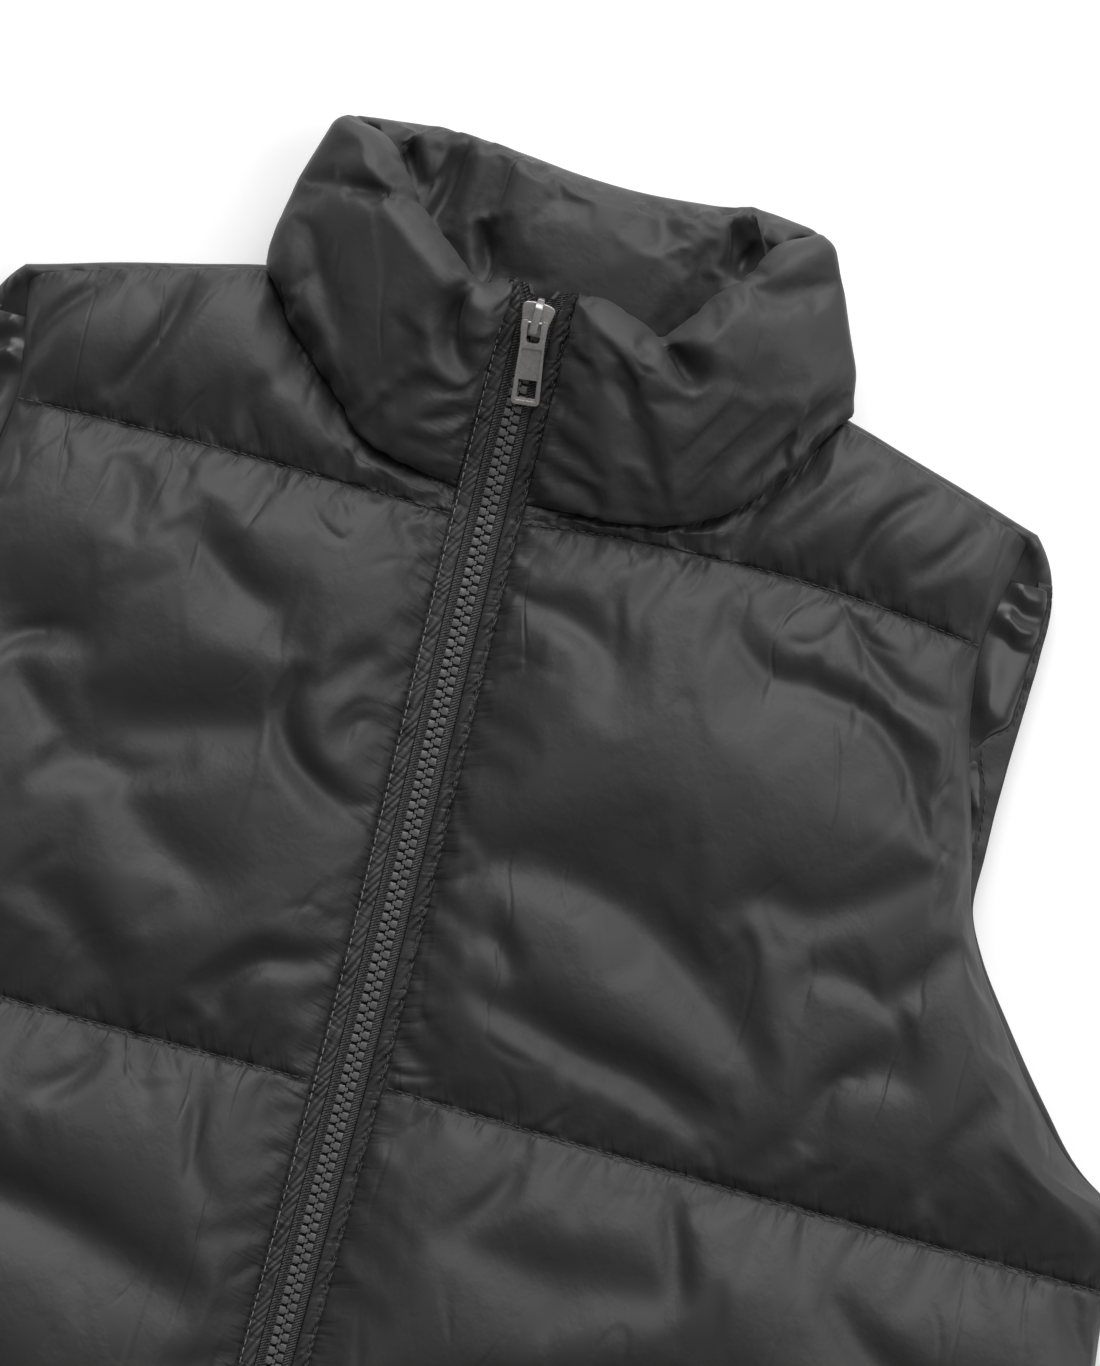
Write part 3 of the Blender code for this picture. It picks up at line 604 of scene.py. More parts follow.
@dataclass(frozen=True)
class Settling:
    """How a padded piece's cloth is settled: held along its seams, with spare cloth, under light pressure."""

    spare: float = 0.02
    spare_at_seams: float = 0.08
    pressure: float = 3
    bending: float = 1.5
    frames: int = 20
    quality: int = 5

    def settle(self, grid: Array, quads: Faces, held: Array, seam_share: Array) -> Array:
        """Runs the cloth.

        Args:
            grid: points in millimetres, the last axis x, y and z.
            quads: faces, facing the way the filling pushes.
            held: how firmly each point is held, from 0 to 1.
            seam_share: how near a seam each point is, from 0 to 1.

        Returns:
            The settled grid, in the shape of the first.
        """
        made = new_piece("settling", grid.reshape(-1, 3), quads)
        for name, weights in (("held", held), ("spare", seam_share)):
            group = made.vertex_groups.new(name=name)
            steps = np.round(np.clip(weights.ravel(), 0, 1) * 25) / 25
            for step in np.unique(steps[steps > 0]):
                group.add(np.nonzero(steps == step)[0].tolist(), float(step), "REPLACE")
        cloth = made.modifiers.new("cloth", "CLOTH")
        values = dict(
            quality=self.quality, mass=0.2, tension_stiffness=15, compression_stiffness=15, shear_stiffness=5,
            bending_stiffness=self.bending, tension_damping=5, compression_damping=5, shear_damping=5,
            bending_damping=0.5, vertex_group_mass="held", vertex_group_shrink="spare",
            shrink_min=-self.spare, shrink_max=-self.spare_at_seams, use_pressure=True,
            uniform_pressure_force=self.pressure)
        for name, value in values.items():
            setattr(cloth.settings, name, value)
        cloth.settings.effector_weights.gravity = 0
        cloth.collision_settings.use_collision = cloth.collision_settings.use_self_collision = False
        cloth.point_cache.frame_start, cloth.point_cache.frame_end = 1, self.frames
        for number in range(1, self.frames + 1):
            bpy.context.scene.frame_set(number)
        evaluated = made.evaluated_get(bpy.context.evaluated_depsgraph_get())
        settled = evaluated.to_mesh()
        points = np.empty(len(settled.vertices) * 3, np.float32)
        settled.vertices.foreach_get("co", points)
        evaluated.to_mesh_clear()
        discard(made)
        bpy.context.scene.frame_set(1)
        return points.astype(float).reshape(grid.shape) / METRES


class Nodes:
    """A node tree with a short way to add nodes."""

    def __init__(self, tree: NodeTree) -> None:
        """Starts on a tree."""
        self.tree = tree

    def add(self, kind: str, inputs: Optional[dict[str | int, object]] = None, **settings: object) -> Node:
        """Adds a node.

        Args:
            kind: the node's type.
            inputs: other nodes' outputs or plain values, by the name or number of the input.
            settings: the node's own settings.

        Returns:
            The node.
        """
        made = self.tree.nodes.new(kind)
        for key, value in settings.items():
            setattr(made, key, value)
        for key, value in (inputs or {}).items():
            if isinstance(value, NodeSocket):
                self.tree.links.new(value, made.inputs[key])
            else:
                made.inputs[key].default_value = value
        return made


class Shader(Nodes):
    """A finish's nodes, over one principled shader."""

    def __init__(self, name: str) -> None:
        """Starts the material."""
        self.material = bpy.data.materials.new(name)
        self.material.use_nodes = True
        super().__init__(self.material.node_tree)
        self.principled = self.tree.nodes["Principled BSDF"].inputs

    def set(self, **values: object) -> None:
        """Sets the principled shader's own sockets."""
        for key, value in values.items():
            self.principled[key.replace("_", " ")].default_value = value

    def maths(self, kind: str, *values: object) -> NodeSocket:
        """Adds a maths node over numbers or sockets."""
        return self.add("ShaderNodeMath", dict(enumerate(values)), operation=kind).outputs[0]

    def textured(self, kind: str, place: NodeSocket, **inputs: object) -> Node:
        """Adds a texture or a mapping that reads that place."""
        return self.add("ShaderNode" + kind, {"Vector": place, **inputs})

    def spread(self, value: NodeSocket, low: float, high: float, to_low: float = 0, to_high: float = 1,
               way: str = "LINEAR") -> NodeSocket:
        """Maps a value from one range to another."""
        inputs = {"Value": value, "From Min": low, "From Max": high, "To Min": to_low, "To Max": to_high}
        return self.add("ShaderNodeMapRange", inputs, interpolation_type=way).outputs["Result"]

    def seam_place(self, name: str) -> tuple[NodeSocket, ...]:
        """The stored places along a seam and away from it, and the seam's number."""
        mark = self.add("ShaderNodeAttribute", attribute_name=name)
        return tuple(self.textured("SeparateXYZ", mark.outputs["Vector"]).outputs)

    def ramp(self, factor: NodeSocket, stops: Sequence[tuple[float, Sequence[float]]]) -> NodeSocket:
        """Adds a colour ramp over that factor."""
        made = self.add("ShaderNodeValToRGB", {"Fac": factor})
        elements = made.color_ramp.elements
        for element, (position, colour) in zip(elements, (stops[0], stops[-1])):
            element.position, element.color = position, (*colour, 1)
        for position, colour in stops[1:-1]:
            elements.new(position).color = (*colour, 1)
        return made.outputs["Color"]

    def bump(self, height: NodeSocket, strength: float, depth: float, after: Optional[Node] = None) -> Node:
        """Adds a bump, over an earlier one where it is given."""
        inputs = {"Height": height, "Strength": strength, "Distance": depth}
        if after is not None:
            inputs["Normal"] = after.outputs["Normal"]
        return self.add("ShaderNodeBump", inputs)

    def dressed(self, colour: NodeSocket, relief: Node, roughness: Optional[NodeSocket] = None) -> Material:
        """Joins the colour, the relief and the roughness to the shader, which ends the material."""
        ends = {"Base Color": colour, "Normal": relief.outputs["Normal"], "Roughness": roughness}
        for name, value in ends.items():
            if value is not None:
                self.tree.links.new(value, self.principled[name])
        return self.material


def tones(colour: Colour, dark: float, light: float) -> tuple[tuple[float, Colour], tuple[float, Colour]]:
    """Two stops for a ramp: the colour darker and lighter by those shares."""
    return (0.3, tuple(dark * c for c in colour)), (0.7, tuple(min(light * c, 1) for c in colour))


@dataclass(frozen=True)
class ShellNylon:
    """Charcoal nylon with a soft satin sheen, a close weave and faint hard creases."""

    colour: Colour = (0.0302, 0.0288, 0.0287)
    roughness: float = 0.56
    weave_pitch: float = 0.0009
    crease_scale: float = 55
    pucker_pitch: float = 3.4
    pucker_reach: float = 4
    pucker_depth: float = 0.0007
    stitch_pitch: float = 3.35
    wrinkle_scale: float = 22
    wrinkle_strength: float = 0.4
    wrinkle_depth: float = 0.001

    def stitch_holes(self, s: Shader, name: str, colour: NodeSocket) -> NodeSocket:
        """Paints shade into the colour: darkens it in small notches along a seam, a painted shadow where the
        needle has pulled the cloth down.
        """
        along, away, _ = s.seam_place(name)
        turn = s.maths("MULTIPLY", along, 2 * math.pi / self.stitch_pitch)
        notch_shade = s.maths("ADD", 0.62, s.maths("MULTIPLY", s.maths("SINE", turn), 0.38))
        near = s.maths("POWER", math.e, s.maths("MULTIPLY", away, -1.6))
        share = s.maths("MULTIPLY", s.maths("MULTIPLY", notch_shade, near), 0.9)
        # Painted shade: the colour is mixed towards near-black at each notch, fading away from the seam.
        shade_mix = s.add("ShaderNodeMix", {0: share, 6: colour, 7: (0.001, 0.001, 0.001, 1)}, data_type="RGBA")
        return shade_mix.outputs[2]

    def wrinkles(self, s: Shader, place: NodeSocket, after: Node) -> Node:
        """Adds sparse sharp wrinkle lines, where one noise crosses its middle and another lets it show."""
        for scale, turn in ((self.wrinkle_scale, 0.6), (1.7 * self.wrinkle_scale, -0.9)):
            turned = s.textured("Mapping", place, Scale=(1, 0.25, 1), Rotation=(0, 0, turn))
            spots = turned.outputs["Vector"]
            crossing = s.textured("TexNoise", spots, Scale=scale, Detail=0.4).outputs["Fac"]
            showing = s.textured("TexNoise", spots, Scale=1.3 * scale, Detail=1).outputs["Fac"]
            off = s.maths("ABSOLUTE", s.maths("SUBTRACT", crossing, 0.5))
            line = s.spread(off, 0, 0.03, -1, 0, "SMOOTHSTEP")
            shown = s.spread(showing, 0.5, 0.62, way="SMOOTHSTEP")
            after = s.bump(s.maths("MULTIPLY", line, shown), self.wrinkle_strength, self.wrinkle_depth, after)
        return after

    def puckers(self, s: Shader, name: str, lean: float, after: Node) -> Node:
        """Adds the small crisp puckers beside a seam.

        Args:
            s: the shader that is built.
            name: the attribute with the places along and away from the seam.
            lean: how much the puckers lean along the seam.
            after: the bump they are laid over.

        Returns:
            The bump node.
        """
        along, away, number = s.seam_place(name)
        leant = s.maths("ADD", along, s.maths("MULTIPLY", away, lean))
        joined = s.add("ShaderNodeCombineXYZ", {
            "X": s.maths("MULTIPLY", leant, 1 / self.pucker_pitch),
            "Y": s.maths("MULTIPLY", away, 0.07),
            "Z": number})
        noise = s.textured("TexNoise", joined.outputs["Vector"], Scale=1, Detail=1.5, Roughness=0.5)
        valley = s.spread(noise.outputs["Fac"], 0.34, 0.5, -1, 0)
        fade = s.maths("POWER", math.e, s.maths("MULTIPLY", away, -1 / self.pucker_reach))
        return s.bump(s.maths("MULTIPLY", valley, fade), 0.9, self.pucker_depth, after)

    def build(self) -> Material:
        """Makes the material."""
        s = Shader("shell_nylon")
        place = s.add("ShaderNodeTexCoord").outputs["Object"]
        s.set(Base_Color=(*self.colour, 1), Specular_IOR_Level=0.5, Sheen_Weight=0.06, Sheen_Roughness=0.45)
        cloud = s.textured("TexNoise", place, Scale=26, Detail=3).outputs["Fac"]
        colour = s.ramp(cloud, tones(self.colour, 0.9, 1.12))
        # Painted shade: every seam's needle notches are darkened in the base colour.
        for seam in ("quilting", "edges"):
            colour = self.stitch_holes(s, seam, colour)
        gloss = s.spread(cloud, 0.3, 0.7, self.roughness - 0.04, self.roughness + 0.05)
        stretched = s.textured("Mapping", place, Scale=(1, 0.8, 1), Rotation=(0, 0, 0.25))
        crease = s.textured("TexNoise", stretched.outputs["Vector"], Scale=self.crease_scale, Detail=4,
                            Roughness=0.55)
        relief = s.bump(s.spread(crease.outputs["Fac"], 0.42, 0.58), 0.3, 0.0007)
        relief = self.wrinkles(s, place, relief)
        for seam, lean in (("edges", -0.35), ("quilting", 0.25)):
            relief = self.puckers(s, seam, lean, relief)
        turned = s.textured("Mapping", place, Rotation=(0, 0, 0.785))
        weave = s.textured("TexChecker", turned.outputs["Vector"], Scale=1 / self.weave_pitch)
        return s.dressed(colour, s.bump(weave.outputs["Fac"], 0.05, 0.00012, relief), gloss)


@dataclass(frozen=True)
class PlainFinish:
    """A simple finish with a fine grain: thread, tape edge, plastic or plated metal."""

    name: str
    colour: Colour
    roughness: float
    metallic: float = 0
    specular: float = 0.5
    grain_scale: float = 900
    grain_depth: float = 0.00008
    tone_change: float = 0.18
    glow: float = 0

    def build(self) -> Material:
        """Makes the material."""
        s = Shader(self.name)
        s.set(Base_Color=(*self.colour, 1), Metallic=self.metallic, Specular_IOR_Level=self.specular,
              Emission_Color=(1, 1, 1, 1), Emission_Strength=self.glow)
        place = s.add("ShaderNodeTexCoord").outputs["Object"]
        grain = s.textured("TexNoise", place, Scale=self.grain_scale, Detail=3).outputs["Fac"]
        colour = s.ramp(grain, tones(self.colour, 1 - self.tone_change, 1 + self.tone_change))
        gloss = s.spread(grain, 0, 1, max(self.roughness - 0.08, 0.05), self.roughness + 0.08)
        return s.dressed(colour, s.bump(grain, 0.3, self.grain_depth), gloss)


@dataclass(frozen=True)
class WovenTape:
    """Coarse black zip tape: slanted rows of raised yarns over dark gaps, with its colour painted from the
    weave's height: a painted highlight on the yarns' tops and painted shade in the gaps.
    """

    # painted highlight: the colour of the raised yarns' tops; the gap colour below is painted shade
    yarn: Colour = (0.14, 0.138, 0.14)
    gap: Colour = (0.003, 0.003, 0.0033)
    column: float = 0.75
    row: float = 1.05
    slant: float = 0.55

    def build(self) -> Material:
        """Makes the material from the tape's own UV map."""
        s = Shader("zip_tape_weave")
        s.set(Roughness=0.5, Specular_IOR_Level=0.5)
        place = s.add("ShaderNodeUVMap", uv_map="UVMap").outputs["UV"]
        split = s.textured("SeparateXYZ", place)
        across, along = split.outputs["X"], split.outputs["Y"]

        def wave(value: NodeSocket, pitch: float) -> NodeSocket:
            """A sine over the value, with that pitch in millimetres."""
            return s.maths("SINE", s.maths("MULTIPLY", value, 2 * math.pi / (pitch * METRES)))

        rising, falling = (wave(s.maths("ADD", along, s.maths("MULTIPLY", across, slant)), self.row)
                           for slant in (self.slant, -self.slant))
        mixed = s.maths("ADD", s.maths("MULTIPLY", rising, wave(across, self.column)), falling)
        speckle = s.textured("TexNoise", place, Scale=1100, Detail=2)
        uneven = s.maths("ADD", mixed, s.maths("MULTIPLY", speckle.outputs["Fac"], 3.2))
        height = s.spread(uneven, 0.2, 3.4)
        # Painted highlight and shade: the colour follows the weave's height, light on the raised yarns and
        # near-black between them.
        between = tuple(0.35 * c for c in self.yarn)
        colour = s.ramp(height, ((0.35, self.gap), (0.7, between), (0.95, self.yarn)))
        return s.dressed(colour, s.bump(height, 0.9, 0.00025))


def made_once(finish: "ShellNylon | PlainFinish | WovenTape") -> Material:
    """A dataclass field that holds the finish's material."""
    return field(default_factory=finish.build)


@dataclass
class Finishes:
    """Every finish of the vest, made once."""

    shell: Material = made_once(ShellNylon())
    lining: Material = made_once(PlainFinish("lining_satin", (0.02, 0.02, 0.021), 0.36, specular=0.6,
                                             grain_scale=1500))
    tape: Material = made_once(WovenTape())
    teeth: Material = made_once(PlainFinish("zip_teeth_plastic", (0.1, 0.1, 0.1), 0.34, grain_scale=500))
    metal: Material = made_once(PlainFinish("plated_metal", (0.45, 0.43, 0.425), 0.36, metallic=0.7,
                                            tone_change=0.12))
    thread: Material = made_once(PlainFinish("sewing_thread", (0.05, 0.049, 0.048), 0.55, specular=0.4,
                                             grain_scale=2500))
    # A lighter copy of the sewing thread: a painted highlight for the stitches beside the zip on the wearer's
    # right, with a random uneven tone.
    worn_thread: Material = made_once(PlainFinish("worn_thread", (0.2, 0.195, 0.19), 0.6, specular=0.4,
                                                  grain_scale=2500, tone_change=0.35))


LEFT_FRONT_FOLDS = [Fold(*row) for row in (
    (((18.5, 75.1), (38.7, 80.1), (60.4, 79.2), (86.6, 70.7), (109.2, 57.6), (130.5, 40.6), (143.6, 27.4)),
     13, 7, 0.88, 0.3),
    (((29.6, 33.9), (52.6, 28.1), (76, 21.2), (98.4, 17.7), (117, 10.7), (133.4, -1.6)), 10, 7, 0.88, 0.3),
    (((30.9, 55.7), (40.8, 50), (48.2, 40.1)), 5, 4, 0.52, 0.24),
    (((84.3, 190.7), (92, 179.6), (105.5, 169.6), (125.3, 167), (145.5, 162.9), (160.5, 151.4), (168.1, 139.1),
     (178.1, 121.5)), 6, 5.5, 0.88, 0.3),
    (((126.1, 199.5), (136.4, 187.9), (151.7, 175.3), (176.2, 168.7)), 5, 4, 0.7, 0.24),
    (((14.1, 171.9), (31.5, 169.4), (47.8, 161.8), (59.8, 148.3)), 8, 4.5, 0.35, 0.21),
    (((110.8, 78.4), (122.1, 89.7), (143.7, 89.5), (166.1, 103.9), (179, 118.1)), 7, 3, 0.52, 0.18),
    (((148.8, 52.7), (147.1, 67.8), (160.7, 70.7), (181.6, 63.9)), 5, 3, 0.35, 0.18),
    (((162.9, 8.7), (166.2, 32.3), (175.8, 40.8), (197.1, 41.7)), 7, 4.5, 0.35, 0.21),
    (((175.9, 67.1), (187.5, 77.4), (197.3, 94.4)), 6, 3.5, 0.52, 0.18),
    (((47.3, -5.5), (58, -9.8), (67.7, -19.2)), 5, 4, 0.52, 0.24),
    (((224, 44), (214, 24), (206, 0)), 5, 4, 0.52, 0.18), (((104, 254), (94, 234), (79, 204)), 4, 5, 0.7, 0.24),
    (((150, 250), (131, 228), (125, 203)), 4.5, 5, 0.7, 0.24),
    (((128, 252), (112, 234), (98, 214)), 4, 3, 0.52, 0.18),
    (((166, 240), (158, 226), (146, 214)), 4, 4, 0.52, 0.21),
    (((120, -16), (126, -34), (134, -58)), 5, 5, 0.52, 0.21),
    (((62, -14), (64, -30), (50, -50)), 5, 4, 0.52, 0.18),
    (((30, -44), (80, -58), (150, -50)), 12, 4, 0.35, 0.15),
    (((40, -120), (130, -100), (230, -130)), 12, 7, 0.7, 0.24),
    (((60, -170), (150, -158), (220, -190)), 9, 6, 0.7, 0.21),
    (((180, -40), (220, -64), (270, -60)), 8, 5, 0.52, 0.18),
    (((50, -262), (130, -276), (220, -262)), 9, 5, 0.52, 0.18),
)]
RIGHT_FRONT_FOLDS = [Fold(*row) for row in (
    (((-171.9, 114.8), (-151.7, 118.1), (-127.6, 126.7)), 12, 6.5, 0.7, 0.27),
    (((-164.2, 105.8), (-146, 116.5), (-127.9, 118.1)), 4, 4.5, 0.52, 0.3),
    (((-134.2, 82.6), (-107.4, 90.9), (-78.2, 100.3), (-56.7, 108.7)), 14, 8, 0.7, 0.3),
    (((-53, 129.5), (-56.8, 114), (-51.6, 99.5), (-35, 86.8), (-13.5, 80.6)), 6, 7, 0.88, 0.33),
    (((-138, 67.1), (-124.2, 74.8), (-103.5, 76.3), (-79.9, 86.6)), 7, 5, 0.52, 0.24),
    (((-108.5, 168.8), (-93.4, 157), (-77.8, 148), (-61.3, 145.8)), 8, 6, 0.52, 0.24),
    (((-51.1, -0.8), (-51.7, 11), (-41.8, 23.4), (-18.5, 25.2)), 6, 5, 0.7, 0.3),
    (((-155, 100.9), (-142.5, 93.6), (-133.6, 80.2)), 6, 4, 0.52, 0.21),
    (((-109.9, 70.7), (-87.4, 55.6), (-55, 43.1)), 9, 3, 0.35, 0.15),
    (((-39, 121.4), (-36.7, 132.6), (-25.7, 140.8)), 5, 3, 0.52, 0.21),
    (((-33.7, 101.7), (-31.7, 114.1), (-19.7, 118.6)), 4, 3, 0.52, 0.21),
    (((-138.3, 28.7), (-121.5, 25.3), (-102.8, 14.5), (-95, -4.6)), 9, 3.5, 0.35, 0.15),
    (((-132.9, 186), (-126.5, 171.9), (-127.4, 155.8)), 5, 3, 0.35, 0.18),
    (((-150, 250), (-171, 226), (-180, 198)), 4.5, 5, 0.7, 0.24),
    (((-126, 254), (-134, 226), (-146, 202)), 4.5, 6, 0.7, 0.24),
    (((-88, 226), (-96, 216), (-96, 200)), 4, 3, 0.35, 0.18),
    (((-86, -16), (-94, -32), (-112, -44)), 4, 4, 0.52, 0.21),
    (((-46, -16), (-49, -34), (-44, -60)), 4, 3, 0.35, 0.18),
    (((-30, -100), (-110, -80), (-200, -100)), 12, 7, 0.7, 0.24),
    (((-60, -160), (-150, -152), (-230, -180)), 9, 6, 0.7, 0.21),
    (((-190, 60), (-214, 30), (-250, 0)), 6, 4, 0.52, 0.18),
    (((-60, -270), (-140, -280), (-230, -266)), 9, 5, 0.52, 0.18),
)]
FRONT_FOLDS = {Side.LEFT: LEFT_FRONT_FOLDS, Side.RIGHT: RIGHT_FRONT_FOLDS}
LEFT_FRONT_CREASES = [Crease(*row) for row in (
    (((62.2, 206.3), (74.6, 200.1), (72, 187.4)),), (((82.4, 202.1), (92.1, 192.8), (91.2, 178.2)),),
    (((108.2, 181.6), (117.6, 182.4), (125.2, 189.7), (127.3, 195.1)), 1.6, 1.8),
    (((126.4, 198.4), (135, 188.8), (143.2, 180.2)), 1.5, 1.8),
    (((130.1, 198.2), (138.3, 189.6), (151, 187.1)), 1.5, 1.5),
    (((174.2, 136), (177.4, 146.4), (184.8, 151.9)), 1.6, 2.2),
    (((176.6, 127), (183.7, 123), (191.9, 121.6)), 1.5, 1.8),
    (((182.4, 114.3), (182.7, 123.9), (187.5, 131.1)), 1.5, 1.6),
    (((6.8, 154.4), (19.5, 151.8), (37.2, 148.2)), 2, 1.2),
    (((10.2, 137.4), (18.6, 146.3), (27.5, 148.7)), 1.6, 1.5),
    (((179.2, 37), (169.4, 37.9), (165, 18.8)), 1.8, 1.4),
    (((183.8, 100.3), (191.4, 111.9), (192.4, 121.7)), 1.6, 1.4),
    (((40.7, 19), (51.4, 14.7), (63.8, 13.2)), 1.8, 1.2), (((50.4, 9.6), (57.3, 1.9), (62.5, -8.7)), 1.6, 1.4),
)]
RIGHT_FRONT_CREASES = [Crease(*row) for row in (
    (((-67, 186.5), (-60.2, 179.1), (-50.9, 175.8), (-48.3, 180.9)), 1.6, 2),
    (((-83.8, 195.2), (-78.3, 187.4), (-77.4, 195.6)), 1.4, 1.6),
    (((-64.9, 188.4), (-71.2, 197.3), (-71.6, 203.8)), 1.4, 1.4),
    (((-120, 192.1), (-110.7, 184), (-116, 191.9)), 1.4, 1.4),
    (((-137.6, 188.7), (-138.3, 176.6), (-141.7, 159.9)),),
    (((-158.3, 187.1), (-153.2, 177.9), (-153.6, 164.6)), 1.5, 1.4),
    (((-175, 185.3), (-169.2, 173.7), (-170.2, 157.5)), 1.6, 1.4),
    (((-52.7, 128.3), (-55, 117.1), (-56.7, 108.7)),), (((-37, 114), (-30.9, 120.9), (-19.5, 122.6)), 1.4, 1.4),
    (((-31.2, 102.3), (-30.3, 113.7), (-22.3, 118.4)), 1.4, 1.6),
    (((-17.8, 42.5), (-29.7, 47.3), (-41, 40.3)), 1.6, 1.2),
    (((-41, 168.4), (-29.3, 174.1), (-19.2, 173.7)), 1.6, 1.4),
    (((-27.7, 168), (-21.1, 163.1), (-16.2, 156.5)), 1.4, 1.4),
    (((-51.5, 0.5), (-51, -11.3), (-46.5, -18)), 1.5, 1.2),
)]
FRONT_CREASES = {Side.LEFT: LEFT_FRONT_CREASES, Side.RIGHT: RIGHT_FRONT_CREASES}


@dataclass
class FrontPanel:
    """One quilted front: four puffs between the placket, the armhole and the side seam."""

    side: Side
    finish: Material
    cell: float = 2.32
    row_counts: tuple[int, ...] = (28, 62, 84, 25)
    puff_rise: float = 14
    puff_round: float = 42
    edge_drop: float = 3
    placket_drop: float = 1.4
    full_room: float = 90
    inner_round: float = 30
    outer_round: float = 26
    start_share: float = 0.82
    crease_share: float = 0.6
    gather_pitch: float = 7.5
    gather_reach: float = 10
    gather_height: float = 1.9
    edge_rings: Outline = ((-0.5, 0.55), (0.6, 0.2), (2.2, 0))  # how far in, share of the height
    settling: Settling = Settling()
    puckers: SeamPuckers = SeamPuckers()

    def plan(self) -> dict[str, Array]:
        """Lays the panel out before it is filled.

        Returns:
            Grids of x and y, of the distances to the nearest quilting line, the placket and the outer edge,
            of each puff's height, and of which points lie on a seam.
        """
        columns = int(round(275 / self.cell)) + 1
        across = crowded(columns, 0.2)
        side = self.side
        lines = [np.full(columns, CUT.hem_y)]
        lines += [CUT.quilting_y(side, i, across) for i in range(3)]
        start = CUT.stitch_x(side, np.array(204))
        x_top = start + across * (side.value * CUT.shoulder_x - start)
        lines.append(CUT.top_y(side, x_top) - 0.3)
        keys = ("x", "y", "to_line", "to_inner", "to_outer", "room", "seam", "baffle", "upper")
        rows: list[tuple[Array, ...]] = []
        for baffle, count in enumerate(self.row_counts):
            low, high = lines[baffle], lines[baffle + 1]
            last = baffle == len(self.row_counts) - 1
            for k, part in enumerate(crowded(count + 1, 0.45)[: count + last]):
                y = low + part * (high - low)
                inner = CUT.stitch_x(side, y) + side.value * 0.05
                outer = side.value * read_curve(BODY_SIDE, y, 2)
                x = inner + across * (outer - inner)
                seam = np.full(columns, float(k in (0, count)))
                seam[[0, -1]] = 1
                rows.append((x, y, np.minimum(y - low, high - y), np.abs(x - inner), np.abs(outer - x),
                             high - low, seam, np.full(columns, baffle), np.full(columns, float(part > 0.5))))
        return {key: np.array(values) for key, values in zip(keys, zip(*rows))}

    def heights(self, p: dict[str, Array]) -> tuple[Array, Array]:
        """The panel's height before it is filled, and how firmly each point is held."""
        room = np.clip(p["room"] / self.full_room, 0.12, 1)
        reach = np.minimum(self.puff_round, 0.5 * p["room"] + 0.1)
        puff = 0.5 * quarter_round(p["to_line"], reach) + 0.5 * soft_step(p["to_line"] / reach, 0, 1)
        inner = 0.5 * quarter_round(p["to_inner"], self.inner_round)
        inner += 0.5 * soft_step(p["to_inner"], 0, self.inner_round + 4)
        puff = puff * inner * quarter_round(p["to_outer"], self.outer_round)
        foot = CUT.seam_z - self.placket_drop * np.exp(-p["to_inner"] / 5)
        z = foot + self.start_share * self.puff_rise * np.sqrt(room) * puff
        held = np.zeros_like(z)
        for fold in FRONT_FOLDS[self.side]:
            change, firm = fold.press(p["x"], p["y"])
            z = z + change * np.minimum(1.5 * puff, 1)
            held = np.maximum(held, firm * (p["to_line"] > 4))
        z = np.maximum(z + self.ripples(p), foot + 0.1)
        z = np.where(p["seam"] > 0, foot, z) - self.edge_drop * np.exp(-p["to_outer"] / 4)
        held = np.where((p["seam"] > 0) | (p["room"] < 5), 1, held)
        return z, held

    def ripples(self, p: dict[str, Array]) -> Array:
        """The change in height by the soft gathers that start at every seam."""
        pitch, reach, height = self.gather_pitch, self.gather_reach, self.gather_height
        out = np.zeros_like(p["x"])
        seed = 11 if self.side is Side.LEFT else 57
        for baffle in range(4):
            for upper in (0, 1):
                here = (p["baffle"] == baffle) & (p["upper"] == upper)
                lean = 0.3 if upper else -0.3
                row = gathers(p["to_line"], p["x"], pitch, reach, seed + 2 * baffle + int(upper), lean)
                out = out + np.where(here, height * row * np.clip(p["room"] / 40, 0.2, 1), 0)
        out = out + 0.85 * height * gathers(p["to_inner"], p["y"], 0.95 * pitch, 0.75 * reach, seed + 20, 0.5)
        return out + 0.25 * height * gathers(p["to_outer"], p["y"], pitch, 0.6 * reach, seed + 21, -0.4)

    def seams(self) -> list[tuple[Array, float]]:
        """Each seam in plan, with the side of its run on which the panel lies."""
        sign = self.side.value
        share = np.linspace(0, 1, 130)
        found = []
        for line in range(3):
            run = CUT.quilting_run(self.side, line, share)
            found += [(run, 1), (run, -1)]
        y = np.linspace(CUT.hem_y, 204, 260)
        found.append((np.column_stack([CUT.stitch_x(self.side, y), y]), -sign))
        x = CUT.stitch_x(self.side, np.array(204)) + share * sign * 92
        found.append((np.column_stack([x, CUT.top_y(self.side, x)]), -sign))
        return found

    def crisp(self, x: Array, y: Array) -> Array:
        """The crisp creases and the seams' puckers, on the settled cloth."""
        out = np.zeros_like(x)
        for crease in FRONT_CREASES[self.side]:
            out = out + self.crease_share * crease.press(x, y)
        first = 100 if self.side is Side.LEFT else 200
        for number, (line, panel_side) in enumerate(self.seams()):
            out = out + self.puckers.press(x, y, line, panel_side, first + number)
        return out

